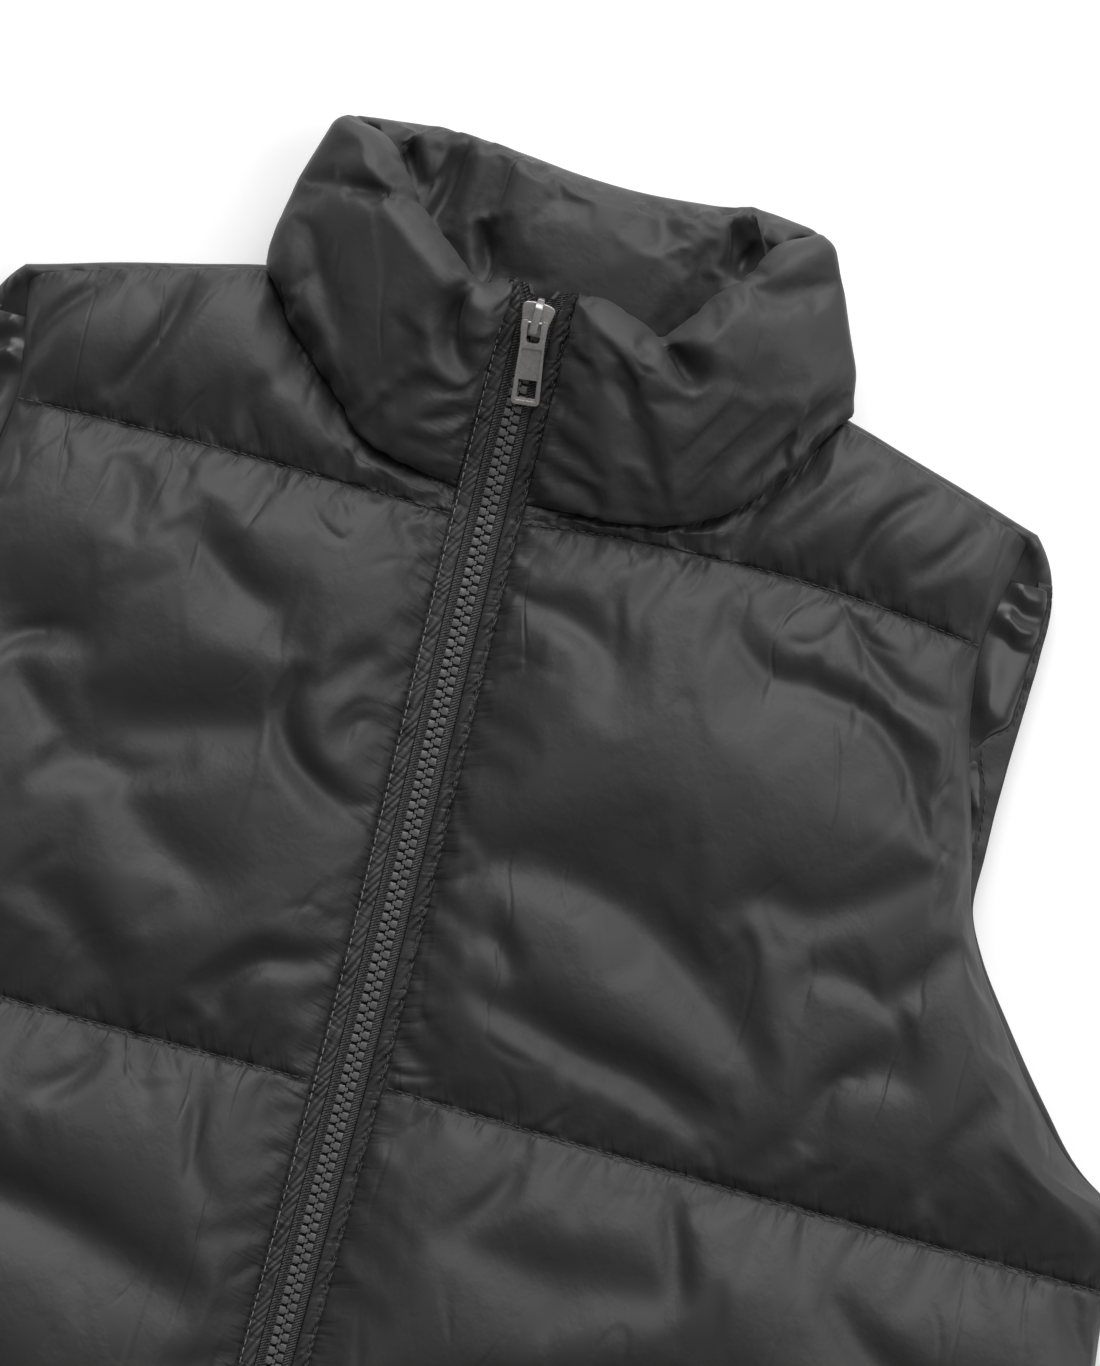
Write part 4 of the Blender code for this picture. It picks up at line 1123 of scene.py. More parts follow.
    def build(self) -> Object:
        """Makes the panel: a filled top over a plain, flat inside."""
        p = self.plan()
        z, held = self.heights(p)
        grid = np.stack([p["x"], p["y"], z], -1)
        if self.side is Side.RIGHT:
            grid, held = grid[:, ::-1], held[:, ::-1]
            p = {key: value[:, ::-1] for key, value in p.items()}
        near_seam = nearness((p["to_line"], 22), (p["to_inner"], 18), (p["to_outer"], 16))
        grid = calmed(self.settling.settle(grid, grid_quads(*z.shape), held, near_seam), p["seam"])
        keys = ("to_line", "to_inner", "to_outer", "baffle", "upper")
        stacked = finer(finer(np.concatenate([grid] + [p[key][..., None] for key in keys], -1), 0), 1)
        grid = stacked[..., :3]
        fine = {key: stacked[..., 3 + i] for i, key in enumerate(keys)}
        edges = np.minimum(fine["to_inner"], fine["to_outer"])
        open_cloth = 1 - np.exp(-np.minimum(edges, np.maximum(fine["to_line"], 0)) / 0.7)
        grid[..., 2] += self.crisp(grid[..., 0], grid[..., 1]) * open_cloth
        edge = grid.reshape(-1, 3)[grid_rim(*grid.shape[:2])]
        low, rings = CUT.front_inside + 0.15, []
        for inset, level in self.edge_rings:
            ring = inset_ring(edge, inset)
            ring[:, 2] = low + level * (edge[:, 2] - low)
            rings.append(ring)
        points, faces = closed_body(grid, rings)
        piece = new_piece(f"front_{self.side.label}_padded", points, faces, finish=self.finish)
        row = 3.7 * (2 * np.round(fine["baffle"]) + np.round(fine["upper"])) + 50 * self.side.value
        seam_marks(piece, "quilting", grid[..., 0], np.maximum(fine["to_line"], 0), row)
        seam_marks(piece, "edges", grid[..., 1], np.maximum(fine["to_inner"], 0),
                   np.full_like(row, 31.0 + 50.0 * self.side.value))
        return declare(piece, "shell", f"front_{self.side.label}", fill=0.45)


COLLAR_RING = (
    # neck seam x, y, z; top edge x, y, z; from the zip round the wearer's right, the back and the left
    (-18, 204.6, 15.2, -17.6, 280.5, 36),
    (-33, 207.1, 15.6, -24, 275.5, 38),
    (-48, 211.6, 15.7, -30, 276.5, 38.5),
    (-60, 219.1, 15.8, -40, 284, 38),
    (-71, 227.6, 16, -50, 292, 36.5),
    (-81, 236.6, 16.2, -57.5, 298.5, 34),
    (-90, 245.8, 16.4, -64, 307.5, 31),
    (-96.5, 255.5, 16.2, -72.5, 317, 26.5),
    (-99.5, 263, 12, -84.5, 323, 17),
    (-95, 259.8, 7.2, -70, 326.5, 8.6),
    (-60, 253.8, 6.8, -46, 328, 7.8),
    (-28, 251.2, 6.8, -26, 326.8, 7.6),
    (4, 250.6, 6.8, -3, 324.6, 7.6),
    (36, 251.2, 6.8, 20, 324.2, 7.6),
    (68, 253.8, 6.8, 44, 326.2, 7.8),
    (103, 259.8, 7.2, 69, 328.6, 8.6),
    (108, 263, 12, 81.5, 325, 17),
    (104, 254.5, 16.2, 71, 316.5, 26.5),
    (99, 244.3, 16.4, 64, 303.5, 31),
    (89.5, 232.3, 16.2, 55.5, 294, 34),
    (77.5, 221.2, 16, 47, 281.5, 36.5),
    (62.5, 214.2, 15.8, 39, 273, 38),
    (44.5, 209.7, 15.7, 30, 276, 38.5),
    (25.5, 206.5, 15.6, 18, 280, 38),
    (7.6, 205.2, 15.2, 7.2, 281, 36),
)
COLLAR_FRONT_FOLDS = [Fold(*row) for row in (
    (((-86.1, 291.5), (-84, 274.9), (-75.6, 258.8), (-61.9, 239.6)), 7, 4, 0.5, 0.22),
    (((-27.8, 277.3), (-32, 270.5), (-33.2, 260.5), (-28.7, 249.6), (-23.2, 246.5)), 4.5, 9, 1, 0.45),
    (((-78, 295.3), (-70.3, 296.4), (-61, 293.4)), 4, 4, 1, 0.34),
    (((-87.9, 255.5), (-76.4, 238), (-57.8, 220)), 6, 3, 0.5, 0.19),
    (((37.3, 273.5), (45.5, 267.9), (52.9, 261.6)), 4.5, 10, 1.25, 0.49),
    (((54.1, 229.4), (65.1, 248.4), (71.2, 259.7)), 5, 2.5, 1, 0.3),
    (((59.6, 221.8), (75.1, 245.4), (86.2, 262.1)), 5, 3.5, 1, 0.34),
    (((77.2, 228.8), (92, 250.6), (104.9, 275.1)), 5, 3.5, 1, 0.34),
    (((25.2, 260.6), (33.5, 253.7), (37.2, 250.1)), 4, 3, 0.75, 0.26),
    (((53.1, 293.3), (72.3, 298.4), (87.7, 309.4)), 7, 3, 0.5, 0.15),
)]
COLLAR_INSIDE_FOLDS = [Fold(*row) for row in (
    (((-47.9, 329.9), (-47.1, 316.8), (-49.1, 300.2), (-51.7, 291.3)), 4, 6, 1.5, 0.38),
    (((-33.6, 298.7), (-29.3, 289.5), (-25.4, 280)), 5, 6, 0.75, 0.38),
    (((-68.8, 322.5), (-63.2, 312.5), (-57.1, 302.7)), 3.5, 5, 1, 0.34),
    (((52.2, 323.7), (56.5, 314.8), (57.1, 302.1)), 5, 7, 1.5, 0.41),
    (((48.6, 318.4), (48.9, 324.2), (53.4, 326.3)), 3, 3.5, 0.75, 0.34),
    (((62.9, 316.5), (61.4, 309.2), (59.9, 302)), 3.5, 5, 1, 0.34),
    (((20.1, 322.2), (28.5, 316.5), (33.5, 306.4)), 6, 2.5, 0.5, 0.15),
)]
COLLAR_FRONT_CREASES = [Crease(*row) for row in (
    (((-27.7, 278.5), (-31.7, 271), (-33, 260.6), (-28.7, 249.6)), 1.6, 2.6),
    (((-75.2, 297.8), (-69.8, 297), (-61.2, 294.3)), 1.5, 1.8),
    (((-68.3, 302), (-62.8, 300), (-58.3, 294.4)), 1.4, 1.4),
    (((-33.6, 232), (-27.5, 235), (-20.8, 234.1)), 1.6, 2),
    (((-29.6, 227.6), (-24.1, 230.9), (-18.8, 230)), 1.4, 1.4),
    (((37, 273.8), (46.3, 267.2), (53.8, 261.4), (55.9, 263.8)), 1.8, 3),
    (((25.1, 261), (33.6, 253.2), (35.9, 249.7)), 1.5, 1.4),
    (((36.6, 260.9), (35.7, 255.4), (32.6, 251.6)), 1.4, 1.4),
    (((54.3, 229), (65.2, 248), (71.6, 260.2)), 1.5, 1.8),
    (((59.8, 221.3), (75.1, 245.1), (86.6, 262.2)), 1.6, 2),
    (((79.4, 229.3), (92.2, 249.7), (105.5, 275.3)), 1.6, 2.2),
    (((-99.9, 266), (-92.1, 249.8), (-81.2, 239)), 1.6, 1.4),
)]
COLLAR_INSIDE_CREASES = [Crease(*row) for row in (
    (((-45.5, 329.6), (-46.7, 316.9), (-48.3, 303.9), (-51.2, 291.9)), 1.6, 2.4),
    (((-49.9, 322.9), (-49.8, 313.8), (-54.9, 303.3)), 1.5, 2),
    (((-69.1, 320.1), (-64.8, 314.4), (-62, 308.2)), 1.6, 2.4),
    (((-56.4, 296), (-54.9, 303.3), (-52.4, 310.8)), 1.5, 2),
    (((-34.7, 299.5), (-29.3, 289.5), (-26, 280.8)), 1.8, 2),
    (((51, 324.8), (56.5, 314.8), (56.8, 301.6)), 1.6, 2.6),
    (((48.3, 319.5), (49.6, 324.9), (56.1, 326.6)), 1.4, 1.8),
    (((62.3, 316.8), (60.6, 309.5), (59.9, 302)), 1.5, 2.4),
    (((15, 324.3), (22.9, 320.5), (32.8, 317.6)), 1.5, 1.2),
    (((31.1, 324), (37.1, 318.8), (45.6, 321.1)), 1.4, 1.2),
    (((39.1, 328.5), (44.5, 325.3), (48.3, 324)), 1.4, 1.2),
)]


@dataclass
class RingPlan:
    """The collar's middle sheet: its points, the way out, and how far each point is from every edge."""

    mid: Array
    out: Array
    up: Array
    run: Array
    to_base: Array
    to_top: Array
    to_zip: Array

    @property
    def facing_up(self) -> Array:
        """Which points lie on the collar's front."""
        return self.out[..., 2] > 0.3

    @property
    def on_back(self) -> Array:
        """0 on the collar's front and 1 on its back, whose inside shows."""
        return soft_step(-self.out[..., 2], 0.2, 0.8)


@dataclass
class CollarRing:
    """The padded stand collar: one ring from zip to zip, whose front half stands over its back."""

    finish: Material
    cell: float = 2.6
    height: float = 76
    crowding: float = 1.25
    outer_pad: float = 12.5
    inner_pad: float = 6
    back_outer_pad: float = 6.5
    back_inner_pad: float = 11.5
    seam_half: float = 2.2
    base_round: float = 24
    outer_zip_round: float = 20
    inner_zip_round: float = 16
    fold_share: float = 0.2
    roll: float = 9
    upright_hold: float = 0.75
    inside_hold: float = 0.5
    settling: Settling = Settling(spare=0.035, spare_at_seams=0.11, pressure=2.2)
    puckers: SeamPuckers = SeamPuckers(length=(4, 17))

    def plan(self) -> RingPlan:
        """Lays the ring out before it is filled."""
        rows = np.array(COLLAR_RING, float)
        mean = (rows[:, :3] + rows[:, 3:]) / 2
        run = np.concatenate([[0], np.cumsum(np.linalg.norm(np.diff(mean, axis=0), axis=1))])
        count = int(round(run[-1] / self.cell)) + 1
        at = np.linspace(0, run[-1], count)
        table = np.column_stack([run, rows])
        smooth = np.stack([read_curve(table, at, c + 1) for c in range(6)], -1)
        base, top, length = smooth[:, :3], smooth[:, 3:], float(run[-1])
        up = 1 - (1 - np.linspace(0, 1, int(round(self.height / self.cell)) + 1)) ** self.crowding
        mid = base[None] + up[:, None, None] * (top - base)[None]
        along, rising = np.gradient(mid, axis=1), np.broadcast_to((top - base)[None], mid.shape)
        out = -np.cross(along, rising)
        out /= np.linalg.norm(out, axis=-1)[..., None]
        still = 0 * mid[..., 0]
        to_base, to_top = up[:, None] * self.height + still, (1 - up)[:, None] * self.height + still
        run = np.linspace(0, length, count)
        return RingPlan(mid, out, up, run, to_base, to_top, np.minimum(run, length - run)[None] + still)

    def folded(self, wall: Array, p: RingPlan, folds: Sequence[Fold], shares: Sequence[Array],
               free: float) -> tuple[Array, Array]:
        """Presses folds into one of the ring's walls.

        Args:
            wall: how far the wall stands off the middle sheet.
            p: the ring's plan.
            folds: the wall's folds.
            shares: how much of a fold each point takes; the first is the wall's visible part.
            free: how far below the top edge the folds begin to hold the cloth.

        Returns:
            The folded wall, and how firmly each point is held.
        """
        held = np.zeros_like(wall)
        for fold in folds:
            change, firm = fold.press(p.mid[..., 0], p.mid[..., 1])
            held = np.maximum(held, firm * shares[0] * (p.to_top > free))
            for share in shares:
                change = change * share
            wall = wall + change
        return wall, held

    def walls(self, p: RingPlan) -> tuple[tuple[Array, Array], tuple[Array, Array]]:
        """How far the outside and the inside stand off the middle sheet, each with how firmly it is held."""
        facing_up, on_back, close = p.facing_up, p.on_back, quarter_round(p.to_top, self.roll)
        level = soft_step(np.abs(p.out[..., 2]), 0.35, 0.95)
        flatness = self.fold_share + (1 - self.fold_share) * level
        rise = quarter_round(p.to_base, self.base_round)
        outer = (self.seam_half * (0.4 + 0.6 * flatness) + self.outer_pad * flatness * rise
                 * quarter_round(p.to_zip, self.outer_zip_round)) * close
        back_outer = self.back_outer_pad * quarter_round(p.to_base, 12) + 0.2
        outer = outer * (1 - on_back) + back_outer * close * on_back
        inner_pad = self.inner_pad * rise * quarter_round(p.to_zip, self.inner_zip_round)
        inner = (self.seam_half + inner_pad) * close
        back_inner = self.seam_half + self.back_inner_pad * rise * (0.25 + 0.75 * p.up[:, None])
        inner = inner * (1 - on_back) + back_inner * close * on_back
        outer, held_out = self.folded(outer, p, COLLAR_FRONT_FOLDS, (facing_up, close), 5)
        inner, held_in = self.folded(inner, p, COLLAR_INSIDE_FOLDS,
                                     (on_back, close, soft_step(p.to_base, 0, 12)), 4)
        base_waves = uneven_waves(p.run[None] + 0.3 * p.to_base, 6.5, 301) * just_off(p.to_base, 11, 2.5)
        zip_waves = 1.8 * uneven_waves(p.to_base + 0.4 * p.to_zip, 6, 302) * just_off(p.to_zip, 10, 2.5)
        outer = outer + (2.4 * base_waves + zip_waves) * facing_up
        inner = inner + 0.5 * uneven_waves(p.run[None] + 0.2 * p.to_top, 7, 303) * just_off(p.to_top, 9, 2.5)
        for held in (held_out, held_in):
            held[0] = held[:, [0, -1]] = 1
        upright = self.upright_hold * (1 - soft_step(np.abs(p.out[..., 2]), 0.3, 0.7))
        held_out = np.maximum.reduce([held_out, 1 * (on_back > 0.5), upright])
        return (outer, held_out), (inner, np.maximum(held_in, self.inside_hold * facing_up))

    def crisp(self, loop: Array, marks: Array, inner_side: Array) -> Array:
        """The crisp creases and the seams' puckers, on the settled cloth.

        Args:
            loop: the ring's points.
            marks: distances along the ring, from its base, from its top edge and from the zip.
            inner_side: which points lie on the collar's inside.

        Returns:
            How far each point moves.
        """
        normal = normals_of(loop)
        if np.median(normal[..., 2][~inner_side & (marks[..., 3] < 60)]) < 0:
            normal = -normal
        up = normal[..., 2] > 0.25
        amount = np.zeros(loop.shape[:2])
        outside, inside = up & ~inner_side, up & inner_side
        for creases, here in ((COLLAR_FRONT_CREASES, outside), (COLLAR_INSIDE_CREASES, inside)):
            for crease in creases:
                amount += crease.press(loop[..., 0], loop[..., 1]) * here
        run, to_base, to_top, to_zip = (marks[..., i] for i in range(4))
        length = float(run.max())
        base = np.column_stack([np.linspace(0, length, 300), np.zeros(300)])
        edge = np.column_stack([np.zeros(60), np.linspace(0, self.height, 60)])
        from_zip = np.where(run < length / 2, run, length - run)
        own = self.puckers.press(run, to_base, base, 1, 501)
        own += self.puckers.press(from_zip, to_base + 200 * (run > length / 2), edge, -1, 502)
        own += self.puckers.press(from_zip, to_base + 200 * (run <= length / 2), edge, -1, 503)
        amount += np.where(inner_side, 0.35, 1) * own * (1 - np.exp(-np.minimum(to_base, to_zip) / 0.7))
        return normal * amount[..., None]

    def build(self) -> Object:
        """Makes the ring: shell outside, rolled over its top edge to the self-fabric inside."""
        p = self.plan()
        (outer, held_out), (inner, held_in) = self.walls(p)
        rows, count = p.to_base.shape
        loop = np.concatenate([p.mid + p.out * outer[..., None], (p.mid - p.out * inner[..., None])[-2::-1]])
        held = np.concatenate([held_out, held_in[-2::-1]])
        held[rows - 1] = np.maximum(held[rows - 1], 0.5)
        share = nearness((p.to_base, 20), (p.to_zip, 16))
        share = np.concatenate([share, share[-2::-1]])
        quads = turned_over(grid_quads(len(loop), count, closed=True))
        loop = self.settling.settle(loop, quads, held, share)
        loop[..., 2] = np.maximum(loop[..., 2], 0.25)
        marks = np.stack([np.broadcast_to(p.run[None], p.to_base.shape), p.to_base, p.to_top, p.to_zip], -1)
        marks = np.concatenate([marks, marks[-2::-1]])
        inside = np.broadcast_to((np.arange(len(loop)) >= rows)[:, None, None], (len(loop), count, 1))
        stacked = finer(finer(np.concatenate([loop, marks, inside.astype(float)], -1), 0, closed=True), 1)
        loop, inner_side = stacked[..., :3], stacked[..., 7] > 0.5
        fine_marks = np.maximum(stacked[..., 3:7], 0)
        loop = loop + self.crisp(loop, fine_marks, inner_side)
        loop[..., 2] = np.maximum(loop[..., 2], 0.2)
        total, columns = loop.shape[:2]
        faces = turned_over(grid_quads(total, columns, closed=True))
        faces.append(tuple(r * columns for r in range(total)))
        faces.append(tuple(r * columns + columns - 1 for r in reversed(range(total))))
        piece = new_piece("collar_padded", loop.reshape(-1, 3), faces, finish=self.finish)
        to_base, to_top = fine_marks[..., 1], fine_marks[..., 2]
        base_or_top = np.where(inner_side, np.minimum(to_base, 2 * to_top), to_base)
        seam_marks(piece, "quilting", fine_marks[..., 0], base_or_top, 141 + 9 * inner_side)
        seam_marks(piece, "edges", fine_marks[..., 1], fine_marks[..., 3], 171 + 9 * inner_side)
        return declare(piece, "shell", "collar_back", "collar_left", "collar_right", fill=0.5)


@dataclass
class BackPanel:
    """The quilted back, which lies on the surface: its puffs are flattened where they rest."""

    finish: Material
    cell: float = 4.4
    width: float = 568
    quilting: tuple[float, ...] = (-218, -12.5, 197)
    baffle_lengths: tuple[float, ...] = (113, 206, 210, 52)
    edge_round: float = 15
    groove: float = 5
    armhole_drop: float = 7
    inside_z: float = 12.9
    edge_roll: Outline = (
        # distance from the edge, rise at the shoulders
        (0.6, 1.6), (1.5, 3), (2.8, 4), (4.4, 4.2), (6, 3.4), (8, 1.6), (10, 0.4), (14, 0), (18, 0),
        (22, 0))
    settling: Settling = Settling(spare=0.03, spare_at_seams=0.08, pressure=2, frames=16)

    def top_y(self, x: Array) -> Array:
        """The back's top edge: the neck seam between the shoulders' wraps."""
        right, left = NECK_SEAM[-1][-1][0], NECK_SEAM[1][-1][0]
        share = (x - right) / (left - right)
        neck = CUT.back_neck_y(np.clip(share, 0, 1))
        side = np.where(x > 0, CUT.shoulder_y(Side.LEFT, x), CUT.shoulder_y(Side.RIGHT, x))
        beyond = np.maximum(x - left, right - x)
        wrapped = side + 2.6 + 2.2 * soft_step(beyond, 20, 70)
        return np.where(beyond < 0, neck, wrapped)

    def inside_ring(self, edge: Array, inset: float) -> Array:
        """The edge moved in by that distance, on the plain inside, which climbs from the edge."""
        x, y = edge[:, 0], edge[:, 1]
        up = np.clip((y - CUT.hem_y) / (self.top_y(x) - CUT.hem_y), 0, 1)
        across = x / read_curve(BODY_SIDE, y, 1)
        top = self.top_y(across * (read_curve(BODY_SIDE, y, 1) - inset))
        new_y = CUT.hem_y + inset + up * (top - CUT.hem_y - 2 * inset)
        new_x = across * (read_curve(BODY_SIDE, new_y, 1) - inset)
        low = edge[:, 2] + 0.4
        return np.column_stack([new_x, new_y, low + (self.inside_z - low) * inset / self.edge_roll[-1][0]])

    def build(self) -> Object:
        """Makes the back from its underside, its rounded edge and a plain inside."""
        columns = int(round(self.width / self.cell)) + 1
        across = crowded(columns, 0.2) * 2 - 1
        lines = [np.full(columns, y) for y in (CUT.hem_y, *self.quilting)]
        lines.append(self.top_y(across * 190))
        rows: list[tuple[Array, ...]] = []
        for baffle, length in enumerate(self.baffle_lengths):
            low, high, count = lines[baffle], lines[baffle + 1], int(round(length / self.cell))
            for k, part in enumerate(crowded(count + 1, 0.2)[: count + (baffle == 3)]):
                y = low + part * (high - low)
                inner_line = (baffle > 0 or part > 0.5) and (baffle < 3 or part < 0.5)
                to_line = np.minimum(y - low, high - y) if inner_line else np.full(columns, 99.0)
                on_seam = k in (0, count) and 0 < baffle + (k == count) < 4
                which = np.full(columns, baffle + 10.0 * (part > 0.5))
                seam = np.full(columns, float(on_seam))
                rows.append((across * read_curve(BODY_SIDE, y, 1), y, to_line, which, seam))
        x, y, near, which, seam = (np.array(values) for values in zip(*rows))
        to_edge = np.minimum(read_curve(BODY_SIDE, y, 1) - np.abs(x), y - CUT.hem_y)
        to_edge = np.minimum(to_edge, self.top_y(x) - y)
        in_armhole = soft_step(y, 40, 90) * (1 - soft_step(y, 228, 240)) * (np.abs(x) > 150)
        edge_z = CUT.back_inside - 0.4 - self.armhole_drop * in_armhole
        z = edge_z * (1 - quarter_round(to_edge, self.edge_round))
        z = np.maximum(z, self.groove * np.exp(-near / 6))
        ripple = np.zeros_like(z)
        for key in np.unique(which):
            waves = uneven_waves(x + 0.3 * np.minimum(near, 40), 8, 700 + int(key))
            ripple = ripple + np.where(which == key, waves, 0) * just_off(near, 12, 3)
        z = z + 2.2 * ripple + 1.6 * uneven_waves(y, 8, 750) * np.exp(-to_edge / 10) * (to_edge > 1)
        rim = np.zeros_like(z)
        rim[[0, -1]] = rim[:, [0, -1]] = 1
        z = np.where(rim > 0, edge_z, np.where(seam > 0, self.groove, np.maximum(z, 0.3)))
        grid = self.settling.settle(np.stack([x, y, z], -1), turned_over(grid_quads(*z.shape)),
                                    np.maximum(rim, seam), nearness((near, 20), (to_edge, 16)))
        grid[..., 2] = np.maximum(grid[..., 2], 0.25)
        grid = finer(finer(grid, 0), 1)
        grid[..., 2] = np.maximum(grid[..., 2], 0.2)
        edge, rings = grid.reshape(-1, 3)[grid_rim(*grid.shape[:2])], []
        turn = np.concatenate([[0], np.cumsum(np.hypot(*np.diff(edge[:, :2], axis=0).T))])
        shoulder = soft_step(edge[:, 1], 225, 238) * (np.abs(edge[:, 0]) > 90)
        wave = uneven_waves(turn, 4.2, 781)
        for inset, rise in self.edge_roll:
            ring = self.inside_ring(edge, inset)
            ring[:, 2] += rise * shoulder * (1 + 0.35 * wave)
            rings.append(ring)
        points, faces = closed_body(grid, rings, down=True)
        piece = new_piece("back_padded", points, faces, finish=self.finish)
        unmarked(piece, "quilting", "edges")
        return declare(piece, "shell", "back", fill=0.4)


def ribbon(low: float, high: float, step: float, share: Array,
           edges: Callable[[Array], tuple[Array, Array]]) -> tuple[Array, Array]:
    """Lays a grid between two edges that run along Y.

    Args:
        low: where it starts.
        high: where it ends.
        step: distance between its rows.
        share: places across it, from the first edge at 0 to the second at 1.
        edges: gives both edges' x at rows of y.

    Returns:
        The grid's x and y.
    """
    y = np.arange(low, high, step)[:, None]
    start, end = edges(y)
    x = start + share[None] * (end - start)
    return x, y + 0 * x


def strip(name: str, upper: Array, lower_z: Array, finish: Material, sharp: float) -> Object:
    """Makes a long closed strip from its upper face and the height of its plain underside.

    Args:
        name: the piece's name.
        upper: a grid of points with x growing along its rows and y along its columns.
        lower_z: the underside's height at each row.
        finish: the material.
        sharp: edges over this angle in degrees stay sharp.

    Returns:
        The object; its points are the grid's, then two for each row of the underside.
    """
    rows, columns = upper.shape[:2]
    lower = upper[:, [0, -1]].copy()
    lower[..., 2] = lower_z.reshape(-1, 1)
    last, under = columns - 1, rows * columns
    faces = grid_quads(rows, columns)
    for r in range(rows - 1):
        u, v, a, b = r * columns, (r + 1) * columns, under + 2 * r, under + 2 * r + 2
        faces += [(v, b, a, u), (u + last, a + 1, b + 1, v + last), (b, b + 1, a + 1, a)]
    end, tail = (rows - 1) * columns, under + 2 * rows - 2
    faces.append((0, under, under + 1, *range(last, 0, -1)))
    faces.append((end + last, tail + 1, tail, *range(end, end + last)))
    return new_piece(name, np.vstack([upper.reshape(-1, 3), lower.reshape(-1, 3)]), faces, sharp, finish)


@dataclass
class Placket:
    """The narrow strip that holds one side of the tape, puckered on the slant by its stitching."""

    side: Side
    finish: Material
    inner_edge: float = 6.6
    splay: float = 3
    crown: float = 0.8
    pucker: float = 1.9
    left_wrinkles: tuple[float, float] = (6.2, 1.9)
    right_wrinkles: tuple[float, float] = (4.6, 1.7)
    lengthways: float = 0.5
    stitch_inset: float = 1.1
    columns: int = 19

    def edges(self, y: Array) -> tuple[Array, Array]:
        """The strip's edge beside the tape and its stitched edge."""
        parted = self.splay * soft_step(y, 269.4, 282)
        return CUT.zip_x(y) + self.side.value * (self.inner_edge + parted), CUT.stitch_x(self.side, y)

    def top_z(self, y: Array, share: Array) -> Array:
        """The strip's smooth upper face at shares from the tape to the stitched edge."""
        body = np.sin(np.pi * np.clip(share, 0, 1)) ** 0.6
        return CUT.zip_z(y) - CUT.zip_sink + 2.4 + 1 * share + self.crown * body

    def build(self) -> Object:
        """Makes the strip as one closed body."""
        share = np.linspace(0, 1, self.columns)
        x, y = ribbon(CUT.hem_y, CUT.collar_top_y - 0.5, self.lengthways, share, self.edges)
        seed = 400 if self.side is Side.LEFT else 430
        pitch, slant = self.left_wrinkles if self.side is Side.LEFT else self.right_wrinkles
        slanted = y - slant * x + 0.7 * pitch * uneven_waves(y - 0.5 * x, 11, seed)
        ridge = np.abs(np.sin(np.pi * slanted / pitch)) ** 0.6 - 0.72
        strength = 0.7 + 0.5 * uneven_waves(y - 0.6 * x, 7, seed + 1)
        reach = (0.65 + 0.35 * share) * (1 - 0.75 * (share == 1))
        z = self.top_z(y, share) + self.pucker * ridge * strength * reach
        upper = np.stack([x, y, z], -1)
        inner, outer = self.edges(y[:, :1])
        from_stitch = np.abs((1 - share) * np.abs(outer - inner) - self.stitch_inset)
        if self.side is Side.RIGHT:
            upper, from_stitch = upper[:, ::-1], from_stitch[:, ::-1]
        underside = CUT.zip_z(y[:, 0]) - CUT.zip_sink + 0.1
        piece = strip(f"placket_{self.side.label}_sewn", upper, underside, self.finish, 70)
        seam_marks(piece, "quilting", upper[..., 1], from_stitch, 0 * from_stitch)
        unmarked(piece, "edges")
        return declare(piece, "shell", f"placket_{self.side.label}", fill=0.2)

    def stitch_line(self) -> Array:
        """The line of the strip's stitching, just above its cloth."""
        y = np.arange(CUT.hem_y + 3, CUT.collar_top_y - 3, 1)
        inner, outer = self.edges(y)
        share = 1 - self.stitch_inset / np.abs(outer - inner)
        x = inner + share * (outer - inner)
        return np.column_stack([x, y, self.top_z(y, share) + 0.22])


def path_piece(name: str, lines: Sequence[Array]) -> Object:
    """Makes a mesh of open lines, each a row of points in millimetres."""
    edges, first = [], 0
    for line in lines:
        edges += [(first + i, first + i + 1) for i in range(len(line) - 1)]
        first += len(line)
    return new_piece(name, np.vstack(lines), edges=edges)


